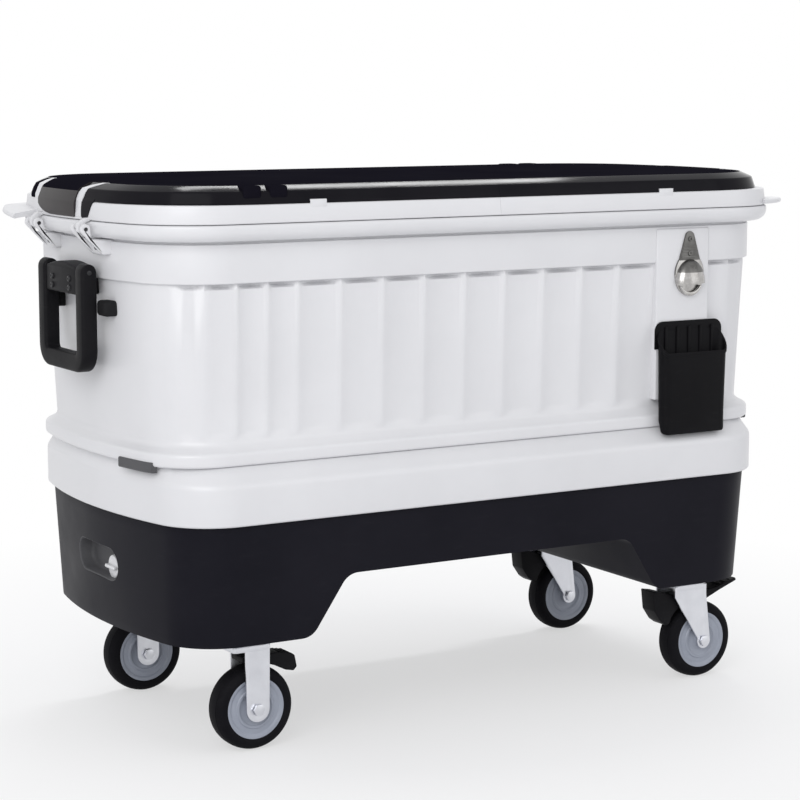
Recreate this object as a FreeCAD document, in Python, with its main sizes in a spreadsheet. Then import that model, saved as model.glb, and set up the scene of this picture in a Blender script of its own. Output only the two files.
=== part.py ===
import FreeCAD, Part
import math
import os
import Sketcher

# A rolling cooler bar: a fluted white tub with two half lids on a black wheeled base.
# X runs along the bar, -Y is the front, Z is up, and the origin is on the floor under the middle.

doc = FreeCAD.newDocument("rolling_cooler_bar")
sheet = doc.addObject("Spreadsheet::Sheet", "sizes")

# Driving dimensions in millimetres.
driving = {
    "end_radius": 957,
    "base_bottom": 182,
    "base_top": 371,
    "belt_shoulder": 432,
    "belt_top": 459,
    "flange_top": 482,
    "wall_bottom": 494,
    "band_bottom": 734,
    "lip_bottom": 798,
    "lip_top": 823,
    "lid_bottom": 824,
    "lid_shoulder": 852,
    "cover_shoulder": 871,
    "deck_height": 880,
    "foot_length": 564,
    "foot_depth": 276,
    "base_length": 574,
    "base_depth": 286,
    "base_corner": 95,
    "belt_length": 584,
    "belt_depth": 296,
    "belt_corner": 101,
    "belt_neck_length": 574,
    "belt_neck_depth": 268,
    "flange_length": 591,
    "flange_depth": 272,
    "flange_corner": 104,
    "wall_low_length": 574,
    "wall_low_depth": 257,
    "wall_high_length": 585,
    "wall_high_depth": 264,
    "wall_corner": 108,
    "band_length": 591,
    "band_depth": 270,
    "band_corner": 116,
    "lip_length": 618,
    "lip_depth": 298.5,
    "lip_corner": 128,
    "lid_inset": 2,
    "lid_draft": 3,
    "cover_corner": 175,
    "cover_round": 13,
    "cover_slope": 26,
    "liner_length": 540,
    "liner_depth": 220,
    "liner_corner": 80,
    "liner_draft": 20,
    "liner_floor": 520,
    "base_wall": 4,
    "belt_wall": 3,
    "tub_wall": 3,
    "band_wall": 8,
    "liner_wall": 2.5,
    "lid_wall": 2.5,
    "foam_gap": 0.5,
    "lid_gap": 1.5,
    "arch_top": 277,
    "arch_top_half": 266,
    "arch_foot_half": 330,
    "leg_floor_inner": 339,
    "slot_height": 282,
    "slot_length": 150,
    "slot_width": 50,
    "drain_x": 500,
    "drain_y": 35,
    "drain_height": 274,
    "drain_radius": 15,
    "drain_bore": 12,
    "drain_reach": 42,
    "plug_radius": 19,
    "plug_length": 15,
    "plug_stem": 10,
    "plug_gap": 0.3,
    "wing_length": 6,
    "wing_half": 3,
    "gasket_inset": 14,
    "gasket_width": 7,
    "gasket_depth": 1.5,
    "gasket_rise": 0.6,
    "grip_length": 658,
    "grip_depth": 282,
    "grip_corner": 140,
    "grip_start": 540,
    "grip_low": 826,
    "grip_thick": 8,
    "hinge_x": 625,
    "hinge_height": 812,
    "hinge_y": 93,
    "hinge_half": 21,
    "hinge_ear": 7,
    "hinge_radius": 8,
    "hinge_pin": 3,
    "hinge_foot": 772,
    "ear_chamfer": 12,
    "bracket_pad": 8,
    "wall_bite": 20,
    "strap_half": 13.5,
    "pin_play": 0.05,
    "panel_half": 47,
    "panel_thick": 6,
    "panel_low": 827,
    "plug_panel_low": 806,
    "plug_panel_gap": 5,
    "pan_play": 0.5,
    "handle_x": 610,
    "handle_pivot": 744,
    "handle_half": 89,
    "handle_arm": 28,
    "handle_thick": 26,
    "handle_bottom": 590,
    "handle_pin": 4,
    "mount_half": 57,
    "mount_bottom": 708,
    "mount_top": 757,
    "mount_set": 3,
    "mount_screw_y": 34,
    "mount_screw_low": 10,
    "mount_screw_high": 24,
    "bumper_y": 97,
    "bumper_half": 17,
    "bumper_height": 690,
    "bumper_tall": 24,
    "clip_y": 170,
    "clip_half": 41,
    "clip_low": 450,
    "clip_high": 466,
    "clip_proud": 3,
    "opener_x": 390,
    "plate_x": 378,
    "plate_half": 54,
    "plate_front": 272.7,
    "plate_bottom": 505,
    "plate_top": 790,
    "opener_disc": 706,
    "opener_radius": 30,
    "opener_depth": 22,
    "opener_sheet": 3,
    "opener_neck": 11,
    "opener_top": 788,
    "neck_foot": 14,
    "neck_flare": 26,
    "hood_low": 702,
    "tooth_half": 12,
    "tooth_reach": 9,
    "tooth_low": 678,
    "tooth_thick": 5,
    "opener_screw_high": 772,
    "opener_screw_low": 748,
    "bin_half": 70,
    "bin_back": 273,
    "bin_front": 300,
    "bin_bottom": 447,
    "bin_rim": 585,
    "bin_back_top": 636,
    "bin_wall": 3,
    "bin_heel": 470,
    "bin_heel_set": 8,
    "bin_heel_rise": 2,
    "hook_x": 30,
    "hook_half": 8,
    "hook_low": 545,
    "hook_high": 572,
    "hook_lift": 26,
    "hook_reach": 9,
    "hook_sheet": 4,
    "left_caster_x": -414,
    "left_trail": 12,
    "left_leg_lead": 9,
    "left_leg_tail": 33,
    "left_boss": 20,
    "right_caster_x": 435,
    "right_trail": 34,
    "right_leg_lead": 30,
    "right_leg_tail": 36,
    "right_boss": 14,
    "caster_y": 204,
    "wheel_radius": 67,
    "wheel_half": 21,
    "hub_radius": 48.6,
    "axle_radius": 6,
    "plate_long": 50,
    "plate_wide": 42,
    "plate_thick": 4,
    "race_radius": 26,
    "race_bottom": 170,
    "kingpin_radius": 8,
    "kinghead_radius": 12,
    "kinghead_thick": 5,
    "swivel_gap": 0.3,
    "fork_inner": 24,
    "fork_sheet": 4,
    "crown_bottom": 160,
    "crown_lead": 30,
    "crown_tail": 36,
    "brake_x": 14,
    "brake_height": 146,
    "brake_half": 18,
    "brake_pin": 4,
    "axle_head": 10,
    "axle_head_thick": 5,
    "bolt_x": 38,
    "bolt_y": 30,
    "bolt_radius": 4,
    "bolt_head": 7,
    "bolt_head_thick": 5,
    "bolt_nut_thick": 6,
    "screw_radius": 2.5,
    "screw_head": 5,
    "screw_head_thick": 3,
}
for row, (alias, number) in enumerate(driving.items(), start=1):
    sheet.set("A%d" % row, alias)
    sheet.set("B%d" % row, str(number))
    sheet.setAlias("B%d" % row, alias)
doc.recompute()


class Size:
    # A length that carries the expression tying it to the sheet.

    def __init__(self, value, text):
        self.value = value
        self.text = text

    def __add__(self, other):
        other = as_size(other)
        return Size(self.value + other.value, "(%s + %s)" % (self.text, other.text))

    def __sub__(self, other):
        other = as_size(other)
        return Size(self.value - other.value, "(%s - %s)" % (self.text, other.text))

    def __mul__(self, factor):
        return Size(self.value * factor, "(%s * %s)" % (self.text, factor))

    def __neg__(self):
        return self * -1


def as_size(item):
    return item if isinstance(item, Size) else Size(float(item), str(item))


def get(alias):
    return Size(float(sheet.get(alias)), "sizes." + alias)


def bind(item, name, length):
    item.setExpression(name, as_size(length).text)


def place(item, spot, rotation=FreeCAD.Rotation()):
    spot = [as_size(value) for value in spot]
    item.Placement = FreeCAD.Placement(FreeCAD.Vector(*(value.value for value in spot)), rotation)
    for axis, value in zip("xyz", spot):
        bind(item, "Placement.Base." + axis, value)


def box(name, x, y, z):
    item = doc.addObject("Part::Box", name)
    for side, (low, high) in zip(("Length", "Width", "Height"), (x, y, z)):
        bind(item, side, as_size(high) - low)
    place(item, (x[0], y[0], z[0]))
    return item


turned = {
    "x": FreeCAD.Rotation(FreeCAD.Vector(0, 1, 0), 90),
    "y": FreeCAD.Rotation(FreeCAD.Vector(1, 0, 0), -90),
    "z": FreeCAD.Rotation(),
}


def rod(name, axis, radius, start, end, centre):
    # A cylinder along one axis from start to end, centred on the other two coordinates.
    item = doc.addObject("Part::Cylinder", name)
    bind(item, "Radius", radius)
    bind(item, "Height", as_size(end) - start)
    spot = list(centre)
    spot.insert("xyz".index(axis), start)
    place(item, spot, turned[axis])
    return item


def cut(name, base, *tools):
    item = doc.addObject("Part::Cut", name)
    item.Base = base
    item.Tool = tools[0] if len(tools) == 1 else fuse(name + "_tools", *tools)
    return item


def fuse(name, *pieces):
    item = doc.addObject("Part::MultiFuse", name)
    item.Shapes = list(pieces)
    return item


def common(name, *pieces):
    item = doc.addObject("Part::MultiCommon", name)
    item.Shapes = list(pieces)
    return item


def group(name, *pieces):
    # Separate solids that share one node.
    item = doc.addObject("Part::Compound", name)
    item.Links = list(pieces)
    return item


def mirrored(name, source, normal=(1, 0, 0)):
    item = doc.addObject("Part::Mirroring", name)
    item.Source = source
    item.Normal = FreeCAD.Vector(*normal)
    item.Base = FreeCAD.Vector(0, 0, 0)
    return item


class Level:
    # A plan outline with straight sides, wide bowed ends and round corners, at one height.

    def __init__(self, length, depth, corner, height, bow=None):
        self.length = as_size(length)
        self.depth = as_size(depth)
        self.corner = as_size(corner)
        self.bow = bow or get("end_radius")
        self.height = as_size(height)

    def inset(self, step, height=None):
        height = self.height if height is None else height
        return Level(self.length - step, self.depth - step, self.corner - step, height, self.bow - step)

    def at(self, height):
        return self.inset(0, height)


def outline(name, level):
    sketch = doc.addObject("Sketcher::SketchObject", name)
    place(sketch, (0, 0, level.height))
    length, depth = level.length.value, level.depth.value
    corner, bow = level.corner.value, level.bow.value
    reach = math.sqrt((bow - corner) ** 2 - (depth - corner) ** 2)
    swing = math.atan2(depth - corner, reach)
    corner_x = length - bow + reach
    quarter = math.pi / 2
    up = FreeCAD.Vector(0, 0, 1)

    def arc(x, y, radius, start, end):
        circle = Part.Circle(FreeCAD.Vector(x, y, 0), up, radius)
        return sketch.addGeometry(Part.ArcOfCircle(circle, start, end))

    def line(start_x, end_x, y):
        start = FreeCAD.Vector(start_x, y, 0)
        return sketch.addGeometry(Part.LineSegment(start, FreeCAD.Vector(end_x, y, 0)))

    # Anticlockwise: front side, right end with its corners, back side, left end with its corners.
    front = line(-corner_x, corner_x, -depth)
    front_right = arc(corner_x, corner - depth, corner, -quarter, -swing)
    right = arc(length - bow, 0, bow, -swing, swing)
    back_right = arc(corner_x, depth - corner, corner, swing, quarter)
    back = line(corner_x, -corner_x, depth)
    back_left = arc(-corner_x, depth - corner, corner, quarter, math.pi - swing)
    left = arc(bow - length, 0, bow, math.pi - swing, math.pi + swing)
    front_left = arc(-corner_x, corner - depth, corner, math.pi + swing, 3 * quarter)
    chain = [front, front_right, right, back_right, back, back_left, left, front_left]
    for this, following in zip(chain, chain[1:] + chain[:1]):
        sketch.addConstraint(Sketcher.Constraint("Tangent", this, 2, following, 1))
    for side in (front, back):
        sketch.addConstraint(Sketcher.Constraint("Horizontal", side))
    for other in (back_right, back_left, front_left):
        sketch.addConstraint(Sketcher.Constraint("Equal", front_right, other))
    sketch.addConstraint(Sketcher.Constraint("Equal", right, left))
    for end in (right, left):
        sketch.addConstraint(Sketcher.Constraint("PointOnObject", end, 3, -1))

    def dimension(label, length, *reference):
        index = sketch.addConstraint(Sketcher.Constraint(*reference, length.value))
        sketch.renameConstraint(index, label)
        bind(sketch, "Constraints." + label, length)

    dimension("corner", level.corner, "Radius", front_right)
    dimension("bow", level.bow, "Radius", right)
    dimension("rightCentre", level.length - level.bow, "DistanceX", -1, 1, right, 3)
    dimension("leftCentre", level.bow - level.length, "DistanceX", -1, 1, left, 3)
    dimension("frontSide", -level.depth, "DistanceY", -1, 1, front, 1)
    dimension("backSide", level.depth, "DistanceY", -1, 1, back, 1)
    return sketch


def loft(name, *levels):
    item = doc.addObject("Part::Loft", name)
    item.Sections = [outline("%s_plan%d" % (name, order), level) for order, level in enumerate(levels)]
    item.Solid = True
    item.Ruled = True
    return item


planes = {
    "xz": FreeCAD.Rotation(FreeCAD.Vector(1, 0, 0), 90),
    "yz": FreeCAD.Rotation(FreeCAD.Vector(1, 1, 1), 120),
}


def prism(name, plane, points, low, high):
    # A side profile drawn in the XZ or YZ plane and carried across the third axis from low to high.
    sketch = doc.addObject("Sketcher::SketchObject", name + "_profile")
    spot = (0, high, 0) if plane == "xz" else (low, 0, 0)
    place(sketch, spot, planes[plane])
    points = [(as_size(along), as_size(up)) for along, up in points]
    for this, following in zip(points, points[1:] + points[:1]):
        start, end = (FreeCAD.Vector(along.value, up.value, 0) for along, up in (this, following))
        sketch.addGeometry(Part.LineSegment(start, end))
    for order, (along, up) in enumerate(points):
        before = (order - 1) % len(points)
        sketch.addConstraint(Sketcher.Constraint("Coincident", before, 2, order, 1))
        for kind, length in (("DistanceX", along), ("DistanceY", up)):
            index = sketch.addConstraint(Sketcher.Constraint(kind, -1, 1, order, 1, length.value))
            label = "%s%d" % (kind[-1].lower(), order)
            sketch.renameConstraint(index, label)
            bind(sketch, "Constraints." + label, length)
    item = doc.addObject("Part::Extrusion", name)
    item.Base = sketch
    item.DirMode = "Normal"
    item.Solid = True
    bind(item, "LengthFwd", as_size(high) - low)
    return item


def across(half, middle=0):
    return as_size(middle) - half, as_size(middle) + half


nodes = []


def keep(label, item):
    item.Label = label
    nodes.append(item)
    return item


# Reach of the boxes and rods that only trim or drill other pieces.
far = 700
tall = 1000
drill = 10

# Plan levels shared by several pieces.
foot = Level(get("foot_length"), get("foot_depth"), get("base_corner"), get("base_bottom"))
base_rim = Level(get("base_length"), get("base_depth"), get("base_corner"), get("base_top"))
belt = Level(get("belt_length"), get("belt_depth"), get("belt_corner"), get("base_top"))
neck = Level(get("belt_neck_length"), get("belt_neck_depth"), get("belt_corner"), get("belt_top"))
flange = Level(get("flange_length"), get("flange_depth"), get("flange_corner"), get("belt_top"))
wall_low = Level(get("wall_low_length"), get("wall_low_depth"), get("wall_corner"), get("wall_bottom"))
wall_high = Level(get("wall_high_length"), get("wall_high_depth"), get("wall_corner"), get("band_bottom"))
band = Level(get("band_length"), get("band_depth"), get("band_corner"), get("band_bottom"))
lip = Level(get("lip_length"), get("lip_depth"), get("lip_corner"), get("lip_bottom"))
mouth = Level(get("liner_length"), get("liner_depth"), get("liner_corner"), get("lip_top"))
lid_foot = lip.inset(get("lid_inset"), get("lid_bottom"))
lid_rim = lid_foot.inset(get("lid_draft"), get("lid_shoulder"))

drain_spot = (-get("drain_x"), -get("drain_y"))


def drain_hole(name, low, high):
    return rod(name, "z", get("drain_radius") + get("pin_play"), low, high, drain_spot)


# Black base: an open-bottomed shell with a tunnel between its two legs and a drain slot in its left end.
def arch_profile(step):
    rise = get("arch_top") + step
    return [
        (-get("arch_foot_half") - step, get("base_bottom") - 2),
        (get("arch_foot_half") + step, get("base_bottom") - 2),
        (get("arch_top_half") + step, rise),
        (-get("arch_top_half") - step, rise),
    ]


base_wall = get("base_wall")
base_outer = loft("base_outer", foot, base_rim)
base_ceiling = base_rim.inset(base_wall, get("base_top") - base_wall)
base_inner = loft("base_inner", foot.inset(base_wall), base_ceiling)
arch_wall = prism("arch_wall", "xz", arch_profile(base_wall), -far, far)
arch = prism("arch", "xz", arch_profile(0), -far, far)
slot_arm = (get("slot_length") - get("slot_width")) * 0.5
slot_radius = get("slot_width") * 0.5
slot_depth = (-far, -get("drain_x"))
slot = fuse(
    "drain_slot",
    box("slot_middle", slot_depth, across(slot_arm), across(slot_radius, get("slot_height"))),
    rod("slot_near", "x", slot_radius, *slot_depth, (-slot_arm, get("slot_height"))),
    rod("slot_far", "x", slot_radius, *slot_depth, (slot_arm, get("slot_height"))),
)
base_hollow = cut("base_hollow", base_inner, arch_wall)
base_shell = cut("base_shell", base_outer, base_hollow)
base_hole = drain_hole("base_drain_hole", *across(drill, get("base_top")))
keep("base_moulding", cut("base_moulding", base_shell, arch, slot, base_hole))

# Floor panels that close the legs and carry the casters.
leg_plan = foot.inset(base_wall + 1)
leg_plate = loft("leg_plate", leg_plan, leg_plan.at(get("base_bottom") + base_wall))
leg_side = box("leg_side", (-far, -get("leg_floor_inner")), (-far, far), (0, get("base_top")))
bolt_spots = [
    (get(end + "_caster_x") + get("bolt_x") * along, get("caster_y") * side + get("bolt_y") * over)
    for end in ("left", "right")
    for side in (-1, 1)
    for along in (-1, 1)
    for over in (-1, 1)
]
bolt_hole = get("bolt_radius") + 0.1
floor_holes = [
    rod("floor_hole%d" % order, "z", bolt_hole, *across(drill, get("base_bottom")), spot)
    for order, spot in enumerate(bolt_spots)
]
leg_blank = common("leg_blank", leg_plate, leg_side)
leg_pair = group("leg_pair", leg_blank, mirrored("leg_blank_right", leg_blank))
keep("leg_floors", cut("leg_floors", leg_pair, *floor_holes))

# White belt: an inverted tray between base and tub, with a sloping shoulder.
belt_wall = get("belt_wall")
shoulder = belt.at(get("belt_shoulder"))
belt_outer = fuse("belt_outer", loft("belt_skirt", belt, shoulder), loft("belt_slope", shoulder, neck))
inner_shoulder = shoulder.inset(belt_wall, get("belt_shoulder") - belt_wall)
belt_inner = fuse(
    "belt_inner",
    loft("belt_skirt_inner", belt.inset(belt_wall), inner_shoulder),
    loft("belt_slope_inner", inner_shoulder, neck.inset(belt_wall, get("belt_top") - belt_wall)),
)
belt_hole = drain_hole("belt_drain_hole", *across(drill, get("belt_top")))
keep("belt_moulding", cut("belt_moulding", belt_outer, belt_inner, belt_hole))

# White tub shell: foot flange, tapered wall, upper band and overhanging lip.
tub_outer = fuse(
    "tub_outer",
    loft("tub_flange", flange, flange.at(get("flange_top"))),
    loft("tub_slope", flange.at(get("flange_top")), wall_low),
    loft("tub_side", wall_low, wall_high),
    loft("tub_band", band, band.at(get("lip_bottom"))),
    loft("tub_lip", lip, lip.at(get("lip_top"))),
)
tub_wall = get("tub_wall")
shell_floor = get("belt_top") + tub_wall
shell_low = wall_low.inset(tub_wall, shell_floor)
shell_high = wall_high.inset(tub_wall)
tub_inner = fuse(
    "tub_inner",
    loft("tub_inner_low", shell_low, shell_high),
    loft("tub_inner_high", shell_high, shell_high.at(get("lip_top"))),
)
lip_channel = cut(
    "lip_channel",
    loft("channel_outer", lip.inset(tub_wall), lip.inset(tub_wall, get("lip_top") - tub_wall)),
    loft("channel_inner", band.at(get("lip_bottom")), band.at(get("lip_top"))),
)
gasket_plan = lip.inset(get("gasket_inset"), get("lip_top") - get("gasket_depth"))


def gasket_ring(name, top):
    inner = gasket_plan.inset(get("gasket_width"))
    return cut(
        name,
        loft(name + "_outer", gasket_plan, gasket_plan.at(top)),
        loft(name + "_inner", inner, inner.at(top)),
    )


gasket_groove = gasket_ring("gasket_groove", get("lip_top"))
shell_hole = drain_hole("shell_drain_hole", *across(drill, get("belt_top")))
keep("tub_shell", cut("tub_shell", tub_outer, tub_inner, lip_channel, gasket_groove, shell_hole))
keep("rim_gasket", gasket_ring("rim_gasket", get("lip_top") + get("gasket_rise")))

# White inner liner with a flange that closes the top of the insulated wall.
liner_wall = get("liner_wall")
liner_bottom = mouth.inset(get("liner_draft"), get("liner_floor"))
liner_outer_low = liner_bottom.inset(-liner_wall, get("liner_floor") - liner_wall)
liner_outer_high = mouth.inset(-liner_wall)
liner_outer = loft("liner_outer", liner_outer_low, liner_outer_high)
brim = shell_high.inset(get("foam_gap") * 0.5)
liner_brim = loft("liner_brim", brim.at(get("lip_top") - tub_wall), brim.at(get("lip_top")))
liner_inner = loft("liner_inner", liner_bottom, mouth)
liner_hole = drain_hole("liner_drain_hole", *across(drill, get("liner_floor")))
keep("tub_liner", cut("tub_liner", fuse("liner_blank", liner_outer, liner_brim), liner_inner, liner_hole))

# Foam between shell and liner.
foam_gap = get("foam_gap")
foam_outer = fuse(
    "foam_outer",
    loft("foam_low", shell_low.inset(foam_gap), shell_high.inset(foam_gap)),
    loft("foam_high", shell_high.inset(foam_gap), shell_high.inset(foam_gap, get("lip_top") - tub_wall)),
)
foam_core = loft("foam_core", liner_outer_low.inset(-foam_gap), liner_outer_high.inset(-foam_gap))
foam_hole = drain_hole("foam_drain_hole", get("belt_top"), get("liner_floor"))
keep("insulation_foam", cut("insulation_foam", foam_outer, foam_core, foam_hole))

# Drain elbow from the liner floor to the slot in the base, and its quarter-turn plug.
drain_axis = (-get("drain_y"), get("drain_height"))
spout_end = -get("drain_x") - get("drain_reach")


def elbow(name, radius, top, end):
    bend = doc.addObject("Part::Sphere", name + "_bend")
    bind(bend, "Radius", radius)
    place(bend, (*drain_spot, get("drain_height")))
    return fuse(
        name,
        rod(name + "_drop", "z", radius, get("drain_height"), top, drain_spot),
        rod(name + "_run", "x", radius, end, -get("drain_x"), drain_axis),
        bend,
    )


spout_bore = elbow("spout_bore", get("drain_bore"), get("liner_floor") + 1, spout_end - 1)
spout = elbow("spout", get("drain_radius"), get("liner_floor"), spout_end)
keep("drain_elbow", cut("drain_elbow", spout, spout_bore))
plug_face = spout_end - get("plug_length")
stem_radius = get("drain_bore") - get("pin_play")
keep(
    "drain_plug",
    fuse(
        "drain_plug",
        rod("plug_cap", "x", get("plug_radius"), plug_face, spout_end - get("plug_gap"), drain_axis),
        rod("plug_stem", "x", stem_radius, plug_face, spout_end + get("plug_stem"), drain_axis),
        box(
            "plug_wing",
            (plug_face - get("wing_length"), plug_face),
            across(get("plug_radius"), -get("drain_y")),
            across(get("wing_half"), get("drain_height")),
        ),
    ),
)

# Lid hinges: white clevis brackets under the lip, pins, and black straps that ride on the lid.
hinge_x = -get("hinge_x")
hinge_centre = (hinge_x, get("hinge_height"))
hinge_hole = get("hinge_pin") + get("pin_play")
hinge_reach = hinge_x - get("hinge_radius")
hinge_inside = hinge_x + get("hinge_radius")
bracket_top = get("lip_bottom") - 2
bracket_face = -get("band_length") - get("bracket_pad")
bracket_root = -get("band_length") + get("wall_bite")
ear_profile = [
    (bracket_root, get("hinge_foot")),
    (hinge_reach + get("ear_chamfer"), get("hinge_foot")),
    (hinge_reach, get("hinge_foot") + get("ear_chamfer")),
    (hinge_reach, get("hinge_height")),
    (hinge_inside, get("hinge_height")),
    (hinge_inside, bracket_top),
    (bracket_root, bracket_top),
]


def hinge_bracket(name, middle):
    ears = []
    first_edge, last_edge = across(get("hinge_half"), middle)
    for order, edge in enumerate((first_edge, last_edge - get("hinge_ear"))):
        span = (edge, edge + get("hinge_ear"))
        ears.append(prism("%s_ear%d" % (name, order), "xz", ear_profile, *span))
        ears.append(rod("%s_eye%d" % (name, order), "y", get("hinge_radius"), *span, hinge_centre))
    pad_width = across(get("hinge_half"), middle)
    pad = box(name + "_pad", (bracket_face, bracket_root), pad_width, (get("hinge_foot"), bracket_top))
    bore = rod(name + "_bore", "y", hinge_hole, *across(get("hinge_half") + 1, middle), hinge_centre)
    return cut(name, fuse(name + "_blank", pad, *ears), tub_outer, bore)


def hinge_pin(name, middle):
    return rod(name, "y", get("hinge_pin"), *across(get("hinge_half") + 2, middle), hinge_centre)


near_hinge = -get("hinge_y")
near_bracket = hinge_bracket("near_bracket", near_hinge)
left_brackets = group("left_brackets", near_bracket, mirrored("far_bracket", near_bracket, (0, 1, 0)))
keep("hinge_brackets", group("hinge_brackets", left_brackets, mirrored("right_brackets", left_brackets)))
near_pin = hinge_pin("near_pin", near_hinge)
left_pins = group("left_pins", near_pin, mirrored("far_pin", near_pin, (0, 1, 0)))
keep("hinge_pins", group("hinge_pins", left_pins, mirrored("right_pins", left_pins)))

# Half lids, drawn on the left and turned half round for the right. Each has a grip at one corner,
# past its hinges: at the back on the left lid, at the front on the right one.
lid_wall = get("lid_wall")
parting = -get("lid_gap") * 0.5


def left_half(name, edge):
    return box(name, (-far, edge), (-far, far), (0, tall))


lid_outer = loft("lid_outer", lid_foot, lid_rim)
grip = Level(get("grip_length"), get("grip_depth"), get("grip_corner"), get("grip_low"))
grip_plate = loft("grip_plate", grip, grip.at(get("grip_low") + get("grip_thick")))
grip_edge = get("hinge_y") + get("hinge_half") + 2
grip_side = box("grip_side", (-far, -get("grip_start")), (grip_edge, far), (0, tall))
lid_grip = common("lid_grip", grip_plate, grip_side)
lid_blank = fuse("lid_blank", common("lid_half", lid_outer, left_half("lid_edge", parting)), lid_grip)
lid_ceiling = lid_rim.inset(lid_wall, get("lid_shoulder") - lid_wall)
lid_inside = loft("lid_inside", lid_foot.inset(lid_wall), lid_ceiling)
lid_hollow = common("lid_hollow", lid_inside, left_half("lid_hollow_edge", parting - lid_wall))
keep("left_lid_shell", cut("left_lid_shell", lid_blank, lid_hollow))

# The cover's corners are rounder than the lid's, so that a ledge of the lid shows there.
cover_foot = Level(lid_rim.length, lid_rim.depth, get("cover_corner"), get("lid_shoulder"), lid_rim.bow)
cover_mid = cover_foot.inset(get("cover_round") * 0.5, get("cover_shoulder"))
cover_top = cover_foot.inset(get("cover_slope"), get("deck_height"))
cover_outer = fuse(
    "cover_outer",
    loft("cover_side", cover_foot, cover_mid),
    loft("cover_shoulder", cover_mid, cover_top),
)
inner_mid = cover_mid.inset(lid_wall, get("cover_shoulder") - lid_wall)
inner_top = cover_top.inset(lid_wall, get("deck_height") - lid_wall)
cover_inner = fuse(
    "cover_inner",
    loft("cover_side_inner", cover_foot.inset(lid_wall), inner_mid),
    loft("cover_shoulder_inner", inner_mid, inner_top),
)
cover_half = common("cover_half", cover_outer, left_half("cover_edge", parting))
cover_hollow = common("cover_hollow", cover_inner, left_half("cover_hollow_edge", parting - lid_wall))
panel_out = -lid_rim.length - get("panel_thick")
panel_box = box(
    "panel_box",
    (panel_out, -lid_rim.length + lid_wall),
    across(get("panel_half")),
    (get("panel_low"), get("cover_shoulder") - get("panel_thick")),
)
end_panel = cut("end_panel", panel_box, lid_outer)
keep("left_lid_cover", fuse("left_lid_cover", cut("cover_shell", cover_half, cover_hollow), end_panel))

tray = mouth.inset(get("plug_panel_gap"), get("plug_panel_low"))
tray_top = get("lid_bottom") + lid_wall
pan_rim = lid_foot.inset(lid_wall + get("pan_play"))
pan_plate = loft("pan_plate", pan_rim, pan_rim.at(tray_top))
lid_pan = fuse("lid_pan", pan_plate, loft("pan_tray", tray, tray.at(tray_top)))
pan_well_low = get("plug_panel_low") + lid_wall
pan_well = loft("pan_well", tray.inset(lid_wall, pan_well_low), tray.inset(lid_wall, tray_top))
pan_edge = parting - lid_wall - get("pan_play")
pan_half = common("pan_half", lid_pan, left_half("pan_edge", pan_edge))
pan_hollow = common("pan_hollow", pan_well, left_half("pan_hollow_edge", pan_edge - lid_wall))
keep("left_lid_liner", cut("left_lid_liner", pan_half, pan_hollow))


def hinge_strap(name, middle):
    span = across(get("strap_half"), middle)
    knuckle = rod(name + "_knuckle", "y", get("hinge_radius"), *span, hinge_centre)
    web_low = (get("hinge_height"), get("lid_bottom") + 1)
    web_high = (get("lid_bottom"), get("lid_shoulder"))
    lower = box(name + "_lower", (hinge_reach + 2, hinge_inside + 0.5), span, web_low)
    upper = box(name + "_upper", (hinge_reach + 2, -get("lip_length") + 16), span, web_high)
    bore = rod(name + "_bore", "y", hinge_hole, *across(get("strap_half") + 1, middle), hinge_centre)
    return cut(name, fuse(name + "_blank", knuckle, lower, upper), lid_blank, bore)


near_strap = hinge_strap("near_strap", near_hinge)
keep("left_lid_straps", group("left_lid_straps", near_strap, mirrored("far_strap", near_strap, (0, 1, 0))))
for label in ("lid_shell", "lid_cover", "lid_liner", "lid_straps"):
    source = next(item for item in nodes if item.Label == "left_" + label)
    keep("right_" + label, mirrored("right_" + label, mirrored("facing_" + label, source), (0, 1, 0)))

# Carry handles: a block on each end with a bail that hangs from a pin.
handle_x = -get("handle_x")
handle_front = handle_x - get("handle_thick") * 0.5
handle_back = handle_x + get("handle_thick") * 0.5
handle_centre = (handle_x, get("handle_pivot"))
handle_hole = get("handle_pin") + get("pin_play")
mount_face = handle_front + get("mount_set")
mount_box = box(
    "mount_box",
    (mount_face, -get("band_length") + get("wall_bite")),
    across(get("mount_half")),
    (get("mount_bottom"), get("mount_top")),
)
mount_bore = rod("mount_bore", "y", handle_hole, *across(get("mount_half") + 1), handle_centre)
left_mount = cut("left_mount", mount_box, tub_outer, mount_bore)
keep("handle_mounts", group("handle_mounts", left_mount, mirrored("right_mount", left_mount)))

arm_inside = get("handle_half") - get("handle_arm")
handle_depth = (handle_front, handle_back)
arms = []
for order, span in enumerate(((-get("handle_half"), -arm_inside), (arm_inside, get("handle_half")))):
    arms.append(box("arm%d" % order, handle_depth, span, (get("handle_bottom"), get("handle_pivot"))))
    arms.append(rod("arm_eye%d" % order, "y", get("handle_thick") * 0.5, *span, handle_centre))
grip_bar = box(
    "grip_bar",
    handle_depth,
    across(get("handle_half")),
    (get("handle_bottom"), get("handle_bottom") + get("handle_thick")),
)
bail_bore = rod("bail_bore", "y", handle_hole, *across(get("handle_half") + 1), handle_centre)
bail_blank = fuse("bail_blank", grip_bar, *arms)
left_bail = keep("left_handle_bail", cut("left_handle_bail", bail_blank, bail_bore))
keep("right_handle_bail", mirrored("right_handle_bail", left_bail))
left_rod = rod("left_rod", "y", get("handle_pin"), *across(get("handle_half") + 2), handle_centre)
keep("handle_pins", group("handle_pins", left_rod, mirrored("right_rod", left_rod)))

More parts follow.
